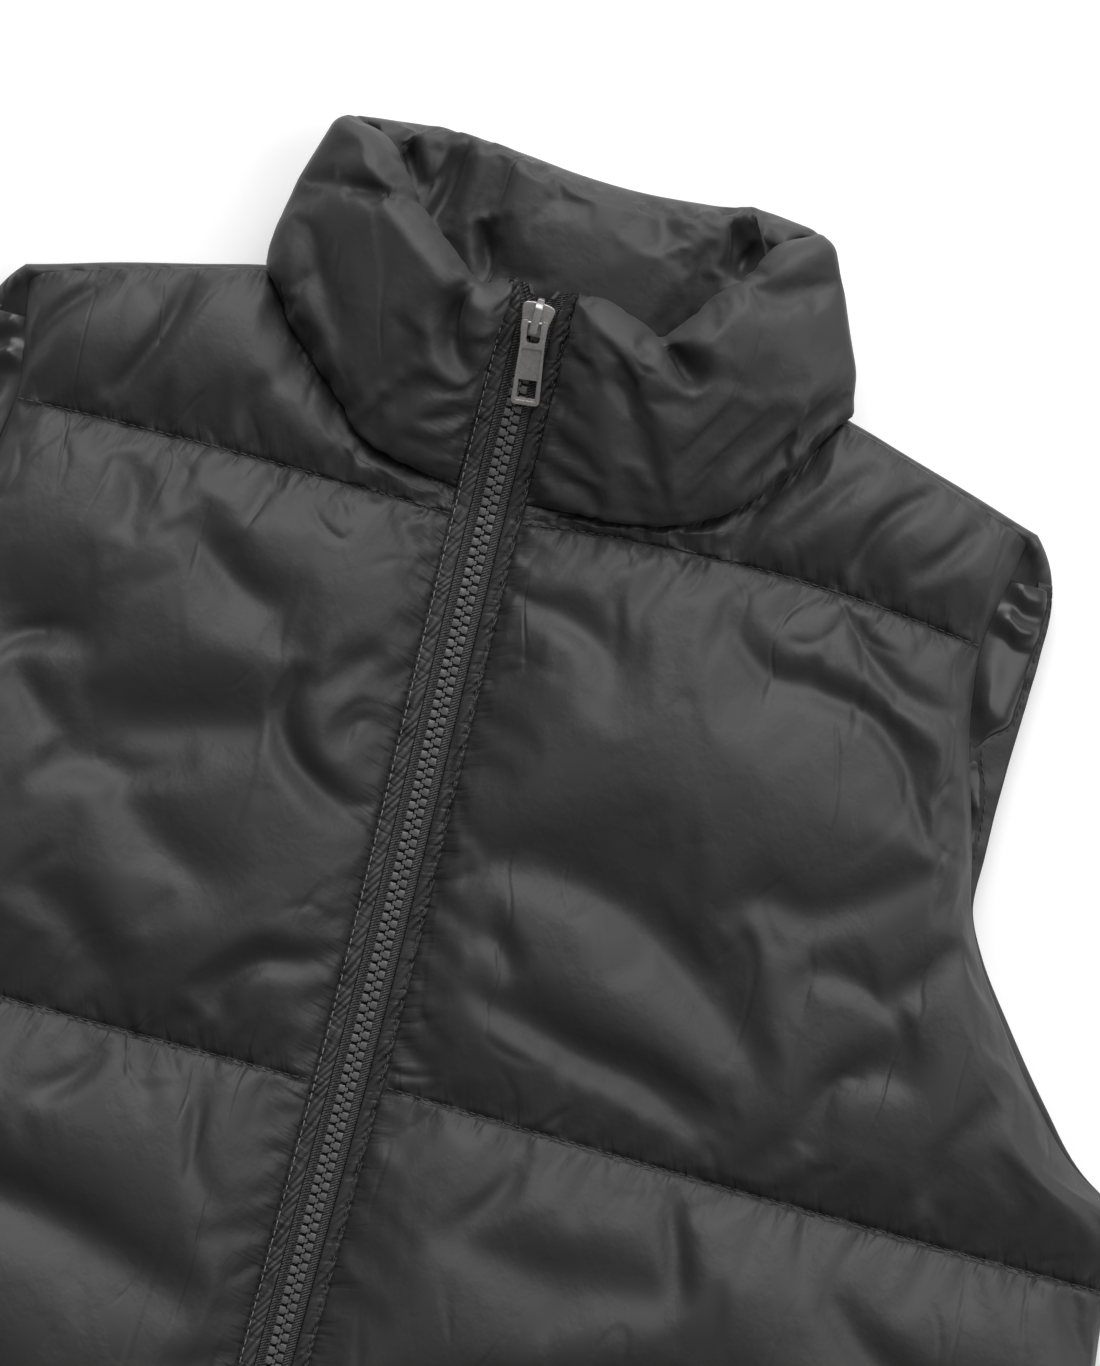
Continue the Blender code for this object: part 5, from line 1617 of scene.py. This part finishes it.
@dataclass(frozen=True)
class Row:
    """A small shape repeated at an even pitch along lines, with a slight uneven turn."""

    pitch: float
    turn: float = 0
    size_change: float = 0.0
    seed: int = 1

    def tree(self, shape: Object, finish: Material) -> NodeTree:
        """Builds the nodes: resample the lines, set the shape on each point, realize and dress it."""
        tree = bpy.data.node_groups.new("row_of_" + shape.name, "GeometryNodeTree")
        face = tree.interface
        face.new_socket("Lines", in_out="INPUT", socket_type="NodeSocketGeometry")
        for name in ("Pitch", "Turn", "Size Change"):
            face.new_socket(name, in_out="INPUT", socket_type="NodeSocketFloat").min_value = 0.0
        face.new_socket("Seed", in_out="INPUT", socket_type="NodeSocketInt")
        face.new_socket("Row", in_out="OUTPUT", socket_type="NodeSocketGeometry")

        add = Nodes(tree).add
        start = add("NodeGroupInput").outputs
        curve = add("GeometryNodeMeshToCurve", {"Mesh": start["Lines"]}).outputs["Curve"]
        spaced = add("GeometryNodeResampleCurve", {"Curve": curve, "Length": start["Pitch"]}, mode="LENGTH")
        tangent = add("GeometryNodeInputTangent").outputs["Tangent"]
        align = add("FunctionNodeAlignRotationToVector", {"Vector": tangent}, axis="Y")
        back = add("ShaderNodeMath", {0: start["Turn"], 1: -1}, operation="MULTIPLY").outputs[0]
        tilt = add("FunctionNodeRandomValue", {2: back, 3: start["Turn"], "Seed": start["Seed"]})
        angles = add("ShaderNodeCombineXYZ", {"X": tilt.outputs[1]}).outputs["Vector"]
        turn = add("FunctionNodeEulerToRotation", {"Euler": angles}).outputs["Rotation"]
        spin = add("FunctionNodeRotateRotation", {"Rotation": align.outputs["Rotation"], "Rotate By": turn},
                   rotation_space="LOCAL")
        small, large = (add("ShaderNodeMath", {0: 1, 1: start["Size Change"]}, operation=way).outputs[0]
                        for way in ("SUBTRACT", "ADD"))
        size = add("FunctionNodeRandomValue", {2: small, 3: large, "Seed": start["Seed"]})
        held = add("GeometryNodeObjectInfo", {"Object": shape}, transform_space="ORIGINAL")
        placed_shapes = add("GeometryNodeInstanceOnPoints", {
            "Points": spaced.outputs["Curve"], "Instance": held.outputs["Geometry"],
            "Rotation": spin.outputs["Rotation"], "Scale": size.outputs[1]})
        real = add("GeometryNodeRealizeInstances", {"Geometry": placed_shapes.outputs["Instances"]})
        dress = add("GeometryNodeSetMaterial", {"Geometry": real.outputs["Geometry"], "Material": finish})
        add("NodeGroupOutput", {"Row": dress.outputs["Geometry"]})
        return tree

    def build(self, name: str, lines: Sequence[Array], shape: Object,
              finish: Material) -> Object:
        """Sets the shape along the lines.

        Args:
            name: the new piece's name.
            lines: rows of points in millimetres.
            shape: the object that is repeated, drawn along Y; it is removed.
            finish: the material.

        Returns:
            One plain mesh object.
        """
        carrier = path_piece(name + "_lines", lines)
        modifier = carrier.modifiers.new("row", "NODES")
        modifier.node_group = self.tree(shape, finish)
        sizes = {"Pitch": self.pitch * METRES, "Turn": math.radians(self.turn),
                 "Size Change": self.size_change, "Seed": self.seed}
        for item in modifier.node_group.interface.items_tree:
            if item.item_type == "SOCKET" and item.in_out == "INPUT" and item.name in sizes:
                modifier[item.identifier] = sizes[item.name]
        evaluated = carrier.evaluated_get(bpy.context.evaluated_depsgraph_get())
        mesh = bpy.data.meshes.new_from_object(evaluated)
        mesh.name = name
        carrier.modifiers.remove(modifier)
        discard(carrier, shape)
        return placed(name, mesh)


def small_shape(name: str, rings: Sequence[Array], sharp: Optional[float] = None) -> Object:
    """Makes a small closed body from rings of points, lowest first and anticlockwise seen from above."""
    count = len(rings[0])
    faces = [tuple(reversed(range(count)))]
    for k in range(len(rings) - 1):
        low, high = k * count, (k + 1) * count
        faces += [(low + i, low + (i + 1) % count, high + (i + 1) % count, high + i) for i in range(count)]
    faces.append(tuple(range((len(rings) - 1) * count, len(rings) * count)))
    return new_piece(name, np.vstack(rings), faces, sharp)


def crossbar(name: str, profile: Array, half: float) -> Object:
    """Makes a bar along X with that profile, as far to either side."""
    return small_shape(name, [np.column_stack([np.full(len(profile), x), profile]) for x in (-half, half)])


@dataclass
class Sewing:
    """The lockstitch that shows as a row of short threads along a seam."""

    finish: Material
    pitch: float = 3.35
    length: float = 2.5
    thread: float = 0.24

    def stitch(self) -> Object:
        """One stitch: a short thread that dips into the cloth at both ends."""
        rings = []
        for share in (-1, -0.8, -0.35, 0.35, 0.8, 1):
            y = share * self.length / 2
            radius = self.thread * (0.45 if abs(share) > 0.9 else 1)
            lift = self.thread * (0.25 - 1.1 * share ** 4)
            angles = np.linspace(0, 2 * math.pi, 6, endpoint=False)
            rings.append(np.column_stack([radius * np.cos(angles), np.full(6, y),
                                          lift + radius * np.sin(angles)]))
        return small_shape("stitch", rings[::-1])

    def build(self, name: str, lines: Sequence[Array]) -> Object:
        """Sews along the lines."""
        row = Row(pitch=self.pitch, turn=3.0, size_change=0.08, seed=5)
        return declare(row.build(name, lines, self.stitch(), self.finish), "shell")


def rounded(outline: Outline, radius: float, steps: int = 4) -> Array:
    """A closed outline with its corners rounded by that radius."""
    corners = np.array(outline, float)
    out = []
    for corner, before, after in zip(corners, np.roll(corners, 1, 0), np.roll(corners, -1, 0)):
        back, on = before - corner, after - corner
        start = corner + back * min(radius / np.linalg.norm(back), 0.45)
        end = corner + on * min(radius / np.linalg.norm(on), 0.45)
        for t in np.linspace(0, 1, steps + 1):
            out.append((1 - t) ** 2 * start + 2 * t * (1 - t) * corner + t * t * end)
    return np.array(out)


def mirrored(half: Outline) -> Outline:
    """A whole outline from its half at positive x."""
    return (*half, *((-x, y) for x, y in reversed(half)))


def slab(name: str, outline: Array, low: float, high: float) -> Object:
    """A plate with an anticlockwise outline between two heights."""
    return small_shape(name, [np.column_stack([outline, np.full(len(outline), z)]) for z in (low, high)])


def box_of(low_x: float, high_x: float, low_y: float, high_y: float) -> Outline:
    """A box's outline, anticlockwise."""
    return (low_x, low_y), (high_x, low_y), (high_x, high_y), (low_x, high_y)


def finished_mesh(shape: Object, bevel: float, cutters: Sequence[Object] = ()) -> Mesh:
    """Cuts other bodies out of a small body, eases its edges and removes them all.

    Args:
        shape: the body.
        bevel: width of the eased edges in millimetres.
        cutters: the bodies that are cut out.

    Returns:
        The finished mesh.
    """
    for cutter in cutters:
        cut = shape.modifiers.new("cut", "BOOLEAN")
        cut.operation, cut.solver, cut.object = "DIFFERENCE", "EXACT", cutter
    eased = shape.modifiers.new("eased", "BEVEL")
    eased.width, eased.segments, eased.limit_method = bevel * METRES, 3, "ANGLE"
    eased.angle_limit = math.radians(35)
    mesh = bpy.data.meshes.new_from_object(shape.evaluated_get(bpy.context.evaluated_depsgraph_get()))
    discard(shape, *cutters)
    return mesh


@dataclass
class SliderSet:
    """The slider on its slope of the zip, and the pull tab that hangs from its bridge."""

    finish: Material
    y: float
    plate_half: Outline = (
        (4.3, -5), (4.8, -3.4), (5, 0), (5.9, 4.4), (5.9, 5.6), (4.9, 6.7), (2, 7.2))
    wedge: Outline = ((0, 3.4), (1.5, 6.2), (1.2, 8.2), (-1.2, 8.2), (-1.5, 6.2))
    plate_low: float = 1.7
    plate_high: float = 3
    bottom_share: float = 0.9
    bridge_half: float = 1.45
    bridge_profile: Outline = (
        (-3.5, 2.5), (-3.5, 4.6), (-3.1, 5.3), (5, 5.3), (5.6, 4.2), (5.6, 2.5), (7.4, 2.5), (7.4, 5),
        (6, 6.4), (-3.8, 6.4), (-4.9, 4.8), (-4.9, 2.5))
    pin_height: float = 4.25
    pin_radius: float = 0.6
    pin_reach: float = 2.5
    pull_half: Outline = (
        (4.1, -29.6), (5.1, -28.6), (4.35, -8), (4.75, 0.4), (4.4, 0.9))
    pull_wall: float = 0.8
    recess_floor: float = 0.05
    pull_skew: float = 7
    pull_drop: float = 2.6

    def frame(self) -> Matrix:
        """The slider's place on the zip."""
        rise = float(CUT.zip_z(self.y + 0.5) - CUT.zip_z(self.y - 0.5))
        place = Vector((float(CUT.zip_x(self.y)), self.y, float(CUT.zip_z(self.y)))) * METRES
        return Matrix.Translation(place) @ Matrix.Rotation(math.atan(rise), 4, "X")

    def hinge(self) -> Matrix:
        """The pull's place on the slider."""
        turn = Euler((math.radians(self.pull_drop), 0, math.radians(self.pull_skew))).to_matrix().to_4x4()
        return self.frame() @ Matrix.Translation((0, 0, self.pin_height * METRES)) @ turn

    def join(self, name: str, meshes: Sequence[Mesh], place: Matrix) -> Object:
        """Makes one plated piece from closed bodies, in its place."""
        edit = bmesh.new()
        for mesh in meshes:
            edit.from_mesh(mesh)
            bpy.data.meshes.remove(mesh)
        bmesh.ops.recalc_face_normals(edit, faces=edit.faces)
        edit.transform(place)
        joined = bpy.data.meshes.new(name)
        edit.to_mesh(joined)
        edit.free()
        joined.shade_smooth()
        joined.set_sharp_from_angle(angle=math.radians(38))
        joined.materials.clear()
        joined.materials.append(self.finish)
        return placed(name, joined)

    def slider(self) -> Object:
        """Two plates round the teeth, a wedge between the tapes and the rounded bridge."""
        shield = rounded(mirrored(self.plate_half), 1.2)
        top = slab("top_plate", shield, self.plate_low, self.plate_high)
        under = slab("bottom_plate", shield * self.bottom_share, -self.plate_high, -self.plate_low)
        wedge = slab("wedge", rounded(self.wedge, 0.5), -self.plate_low - 0.3, self.plate_low + 0.3)
        bridge = crossbar("bridge", rounded(self.bridge_profile, 0.9), self.bridge_half)
        bodies = ((top, 0.35), (under, 0.3), (wedge, 0.15), (bridge, 0.5))
        made = self.join("zip_slider_plated", [finished_mesh(*body) for body in bodies], self.frame())
        return declare(made, "slider_metal", "zip_slider")

    def pull(self) -> Object:
        """The tab: two arms round the bridge, a pin under it, a sunk face inside a rim and a hole."""
        tab = slab("tab", rounded(mirrored(self.pull_half), 1), -self.pull_wall, self.pull_wall)
        slot = slab("slot", rounded(box_of(-2.4, 2.4, -7.2, 3), 1.5), -2, 2)
        hole = slab("hole", rounded(box_of(-3.3, 3.3, -27.2, -20.6), 0.35), -2, 2)
        sunk = slab("sunk", rounded(box_of(-3.7, 3.7, -28.1, -9.2), 0.9), self.recess_floor, 2)
        angles = np.linspace(0, 2 * math.pi, 20, endpoint=False)
        ring = np.stack([np.cos(angles), np.sin(angles)], -1) * self.pin_radius
        pin = crossbar("pin", ring, self.pin_reach)
        parts = [finished_mesh(tab, 0.2, (slot, hole, sunk)), finished_mesh(pin, 0.1)]
        made = self.join("pull_tab_plated", parts, self.hinge())
        return declare(made, "slider_metal", "pull_tab", body="pull")


@dataclass
class Zip:
    """The zip: two woven tapes, moulded teeth and the slider with its pull; the top stops and the box stay the
    part's own nodes.
    """

    finishes: Finishes
    pitch: float = 3.7
    tape_half: float = 6.3
    tape_meets: float = 0.15
    tape_wall: float = 0.8
    tape_gap: float = 0.3
    splay: float = 5
    placket_splay: float = 0.6
    tooth_x: float = 1.85
    tooth_height: float = 1.75
    slider_y: float = 267.4
    box_length: float = 10.5

    def parted(self, y: Array) -> Array:
        """How far a half of the zip has moved aside above the slider."""
        return self.splay * soft_step(y, self.slider_y + 2, CUT.collar_top_y + 1)

    def tooth(self, side: Side) -> Object:
        """One tooth: a block on the tape, a neck and a round head that reaches past the middle."""
        half = np.array([(-1.15, -1.2), (-1, -1.36), (0.9, -1.32), (1.1, -1.1), (1.2, -0.62), (1.4, -0.55),
                         (1.6, -0.8), (2.1, -0.82), (2.35, -0.45)])
        outline = np.vstack([half, half[::-1] * (1, -1)])
        centre = np.array([0.35, 0])
        rings = []
        for z, share in ((-0.35, 1), (self.tooth_height - 0.3, 1), (self.tooth_height - 0.08, 0.96),
                         (self.tooth_height, 0.88)):
            ring = centre + (outline - centre) * share
            rings.append(np.column_stack([ring, np.full(len(ring), z)]))
        if side is Side.LEFT:
            rings = [ring[::-1] * (-1, 1, 1) for ring in rings]
        return small_shape("tooth", rings, 38)

    def teeth(self) -> list[Object]:
        """Both rows of teeth, half a pitch apart."""
        pieces = []
        low, high = CUT.hem_y + self.box_length + 1.5, self.slider_y + 1.5
        for side in Side:
            shift = 0.5 * self.pitch if side is Side.LEFT else 0
            y = np.arange(low + shift, high, 2)
            line = np.column_stack([CUT.zip_x(y) + side.value * self.tooth_x, y, CUT.zip_z(y)])
            row = Row(pitch=self.pitch, turn=2.6, seed=21 + int(side is Side.LEFT))
            made = row.build(f"zip_teeth_{side.label}", [line], self.tooth(side), self.finishes.teeth)
            pieces.append(declare(made, "zip_teeth", "zip_chain"))
        return pieces

    def tape(self, side: Side) -> Object:
        """One tape, with the cord that carries the teeth and a coarse woven face."""

        def edges(y: Array) -> tuple[Array, Array]:
            """The tape's edge at the teeth and its edge under the placket."""
            return (CUT.zip_x(y) + side.value * (self.tape_meets + self.parted(y)),
                    CUT.zip_x(y) + side.value * (self.tape_half + self.placket_splay * self.parted(y)))

        share = np.concatenate([np.linspace(0, 0.42, 6), np.linspace(0.5, 1, 9)])
        x, y = ribbon(CUT.hem_y + 1, CUT.collar_top_y - 1.4, 0.9, share, edges)
        away = np.abs(x - x[:, :1])
        z = CUT.zip_z(y) - self.tape_gap
        z = z + 0.42 * np.exp(-((away - 3.15) / 0.55) ** 2) + 0.12 * soft_step(away, 4, 6)
        ribs = np.sin(2 * math.pi * (y + 0.9 * away) / 1.8)
        z = z + 0.05 * ribs * soft_step(away, 2.4, 3)
        upper = np.stack([x, y, z], -1)
        if side is Side.RIGHT:
            upper, away = upper[:, ::-1], away[:, ::-1]
        underside = CUT.zip_z(y[:, 0]) - self.tape_gap - self.tape_wall
        piece = strip(f"zip_tape_{side.label}_woven", upper, underside, self.finishes.tape, 60)
        across = np.concatenate([away.ravel(), away[:, [0, -1]].ravel()]) * side.value
        add_uv(piece, across, np.concatenate([y.ravel(), y[:, [0, -1]].ravel()]))
        declare(piece, "zip_tape", f"zip_tape_{side.label}")
        return piece

    def build(self) -> list[Object]:
        """Makes the tapes, the teeth, the slider and its pull."""
        metal = SliderSet(self.finishes.metal, self.slider_y)
        return [*(self.tape(side) for side in Side), *self.teeth(), metal.slider(), metal.pull()]


LINING_LOOSENESS = (
    # y, share of the lining's rise
    (94, 0.3), (104, 0.7), (108, 0.2), (116, 0.75), (121, 0.25), (130, 0.8), (135, 0.25),
    (144, 0.85), (150, 0.2), (158, 0.1), (168, 0.45), (177, 0.95), (183, 0.85), (198, 0.25),
    (201, 0.2), (209, 0.95), (213, 0.35), (221, 0.85), (226, 0.5),
)


@dataclass
class ArmholeInside:
    """What an open armhole shows of the back: the facing band and, inside its seam, the loose lining."""

    side: Side
    finishes: Finishes
    facing_y: tuple[float, float] = (96, 226)
    lining_y: tuple[float, float] = (94, 224)
    lining_width: float = 24
    lining_rise: float = 5
    cover_z: float = 13.15
    seam_from_edge: Outline = (
        (90, 7), (112, 5.5), (130, 4.8), (142, 5.6), (150, 7.5), (158, 11), (163, 12),
        (168, 9), (172, 4.5), (180, 3.2), (200, 2.8), (214, 1.6), (226, 1.2))

    def edge_x(self, y: Array) -> Array:
        """The back's armhole edge."""
        return read_curve(BODY_SIDE, y, 1)

    def floor_z(self, from_edge: Array) -> Array:
        """The height of the back's own inside, by the distance from its edge."""
        return 6.4 + 6.6 * np.clip(from_edge / 22, 0, 1)

    def seam_x(self, y: Array) -> Array:
        """The seam between the lining and the facing."""
        return self.edge_x(y) - read_curve(self.seam_from_edge, y)

    def sheet(self, name: str, grid: Array, finish: Material, slot: str, wall: float) -> Object:
        """Makes a thin closed sheet from its upper face; its name starts with its node's."""
        if self.side is Side.RIGHT:
            grid = grid[:, ::-1] * (-1, 1, 1)
        rows, columns = grid.shape[:2]
        count, rim = rows * columns, grid_rim(rows, columns)
        faces = grid_quads(rows, columns) + turned_over(grid_quads(rows, columns, first=count))
        faces += ring_walls(rim, [count + i for i in rim])
        upper = grid.reshape(-1, 3)
        piece = new_piece(name, np.vstack([upper, upper - (0, 0, wall)]), faces, finish=finish)
        declare(piece, slot, name.rpartition("_")[0])
        return piece

    def facing(self) -> Object:
        """The band of shell cloth along the armhole's edge, gently uneven, with a turned edge at its seam."""
        def edges(y: Array) -> tuple[Array, Array]:
            """The band's edge under the lining and its edge at the armhole."""
            return self.seam_x(y) - 4.5, self.edge_x(y) - 0.25

        x, y = ribbon(*self.facing_y, 1.1, np.linspace(0, 1, 13), edges)
        away, from_seam = self.edge_x(y) - x, x - self.seam_x(y)
        z = self.floor_z(away) + 0.7 + 0.9 * soft_step(from_seam, -2, 1.5)
        z = z + 0.45 * gathers(np.maximum(from_seam, 0), y, 3.6, 3, 611) * (from_seam > 0)
        z = z + 0.5 * uneven_waves(y + 0.8 * away, 8, 613)
        z = np.minimum(z, 13 + 3.5 * soft_step(x - read_curve(BODY_SIDE, y, 2), -1, 6))
        made = self.sheet(f"armhole_facing_{self.side.label}_sewn", np.stack([x, y, z], -1),
                          self.finishes.shell, "shell", 0.6)
        unmarked(made, "quilting", "edges")
        return made

    def lining(self) -> Object:
        """The lining, cut longer than its armhole, so that it lies in smooth folds across."""

        def edges(y: Array) -> tuple[Array, Array]:
            """The lining's edge under the front and its seam."""
            return self.seam_x(y) - self.lining_width, self.seam_x(y)

        x, y = ribbon(*self.lining_y, 0.8, np.linspace(0, 1, 34), edges)
        inside, beside = np.abs(x - self.seam_x(y)), x - read_curve(BODY_SIDE, y, 2)
        slanted = y + 0.22 * (x - 190) + 1.6 * uneven_waves(x, 6, 642)
        loose = read_curve(LINING_LOOSENESS, slanted) * quarter_round(inside, 6) * soft_step(beside, -1, 7)
        z = self.floor_z(self.edge_x(y) - x) + 0.4 + self.lining_rise * loose
        z = z + 0.3 * gathers(inside, y, 3.8, 3.5, 641)
        z = np.where(beside < 0, np.minimum(z, self.cover_z), z)
        return self.sheet(f"back_lining_{self.side.label}_loose", np.stack([x, y, z], -1),
                          self.finishes.lining, "lining", 0.35)

    def seam_line(self) -> Array:
        """The facing's stitched seam, just outside the lining."""
        y = np.arange(self.facing_y[0] + 2, self.facing_y[1] - 2, 1.5)
        away = read_curve(self.seam_from_edge, y) - 0.9
        x = self.edge_x(y) - away
        z = self.floor_z(away) + 0.7 + 0.9 * soft_step(np.full_like(y, 0.9), -2.0, 1.5) + 0.15
        return np.column_stack([self.side.value * x, y, z])


@dataclass
class Studio:
    """A pale floor, soft lights and a camera straight above the collar."""

    centre: tuple[float, float] = (32.6, 145.4)
    roll: float = 15
    frame_height: float = 485
    garment_z: float = 24
    lens: float = 100
    sensor: float = 36
    surround: float = 0.17
    floor_glow: float = 0.2

    def camera(self) -> None:
        """Places the camera so that the frame spans its height at the garment."""
        data = bpy.data.cameras.new("camera")
        data.lens, data.sensor_width, data.sensor_fit = self.lens, self.sensor, "AUTO"
        data.clip_start, data.clip_end = 0.05, 20
        made = placed("camera", data)
        away = self.frame_height * self.lens / self.sensor
        made.location = Vector((self.centre[0], self.centre[1], self.garment_z + away)) * METRES
        made.rotation_euler = (0, 0, math.radians(self.roll))
        bpy.context.scene.camera = made

    def lamp(self, name: str, place: tuple[float, float, float], size: float, power: float) -> None:
        """Adds a soft square lamp aimed at the vest."""
        data = bpy.data.lights.new(name, "AREA")
        data.size, data.energy = size, power
        made = placed(name, data)
        made.location = place
        aim = Vector((0.02, 0.1, 0)) - Vector(place)
        made.rotation_euler = aim.to_track_quat("-Z", "Y").to_euler()

    def build(self) -> None:
        """Sets the floor, the lamps, the surroundings and the colour handling."""
        paper = PlainFinish("studio_paper", (0.95, 0.95, 0.95), 0.9, specular=0, tone_change=0.01,
                            glow=self.floor_glow).build()
        corners = [(x, y, -0.2) for x, y in box_of(-6000, 6000, -6000, 6000)]
        new_piece("studio_floor", corners, [(0, 1, 2, 3)], finish=paper)
        world = bpy.data.worlds.new("studio")
        world.use_nodes = True
        background = world.node_tree.nodes["Background"].inputs
        background["Color"].default_value, background["Strength"].default_value = (1,) * 4, self.surround
        bpy.context.scene.world = world
        self.lamp("window_light", (-0.2, 2.2, 1.6), 2.6, 78)
        self.lamp("side_light", (1.6, 0.8, 1.6), 1.6, 18)
        self.camera()
        bpy.context.scene.view_settings.view_transform = "Standard"


def main() -> None:
    """Builds the vest piece by piece."""
    logging.basicConfig(level=logging.INFO, format="%(name)s: %(message)s")
    finishes = Finishes()
    pieces = [BackPanel(finishes.shell).build()]
    plackets: dict[Side, Placket] = {}
    for side in Side:
        pieces.append(FrontPanel(side, finishes.shell).build())
        plackets[side] = Placket(side, finishes.shell)
        pieces.append(plackets[side].build())
    pieces.append(CollarRing(finishes.shell).build())
    pieces += Zip(finishes).build()
    sewing = Sewing(finishes.thread)
    for side in Side:
        inside = ArmholeInside(side, finishes)
        pieces += [inside.facing(), inside.lining()]
        pieces.append(sewing.build(f"armhole_stitches_{side.label}", [inside.seam_line()]))
        # The wearer's right placket stitches take the lighter thread, a painted highlight.
        beside_zip = Sewing(finishes.thread if side is Side.LEFT else finishes.worn_thread)
        pieces.append(beside_zip.build(f"placket_stitches_{side.label}", [plackets[side].stitch_line()]))
        share = np.linspace(0.01, 0.99, 150)
        height = np.full_like(share, CUT.seam_z + 0.45)
        rows = [np.column_stack([CUT.quilting_run(side, line, share), height]) for line in range(3)]
        pieces.append(sewing.build(f"quilting_stitches_{side.label}", rows))
    for piece in pieces:
        log.info("%s: %d faces", piece.name, len(piece.data.polygons))
    slots = {"zip_box": finishes.teeth, "zip_stop": finishes.teeth}
    for name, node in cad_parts.items():
        for start, finish in slots.items():
            if name.startswith(start):
                node.data.materials.clear()
                node.data.materials.append(finish)
    Studio().build()


if __name__ == "__main__":
    main()
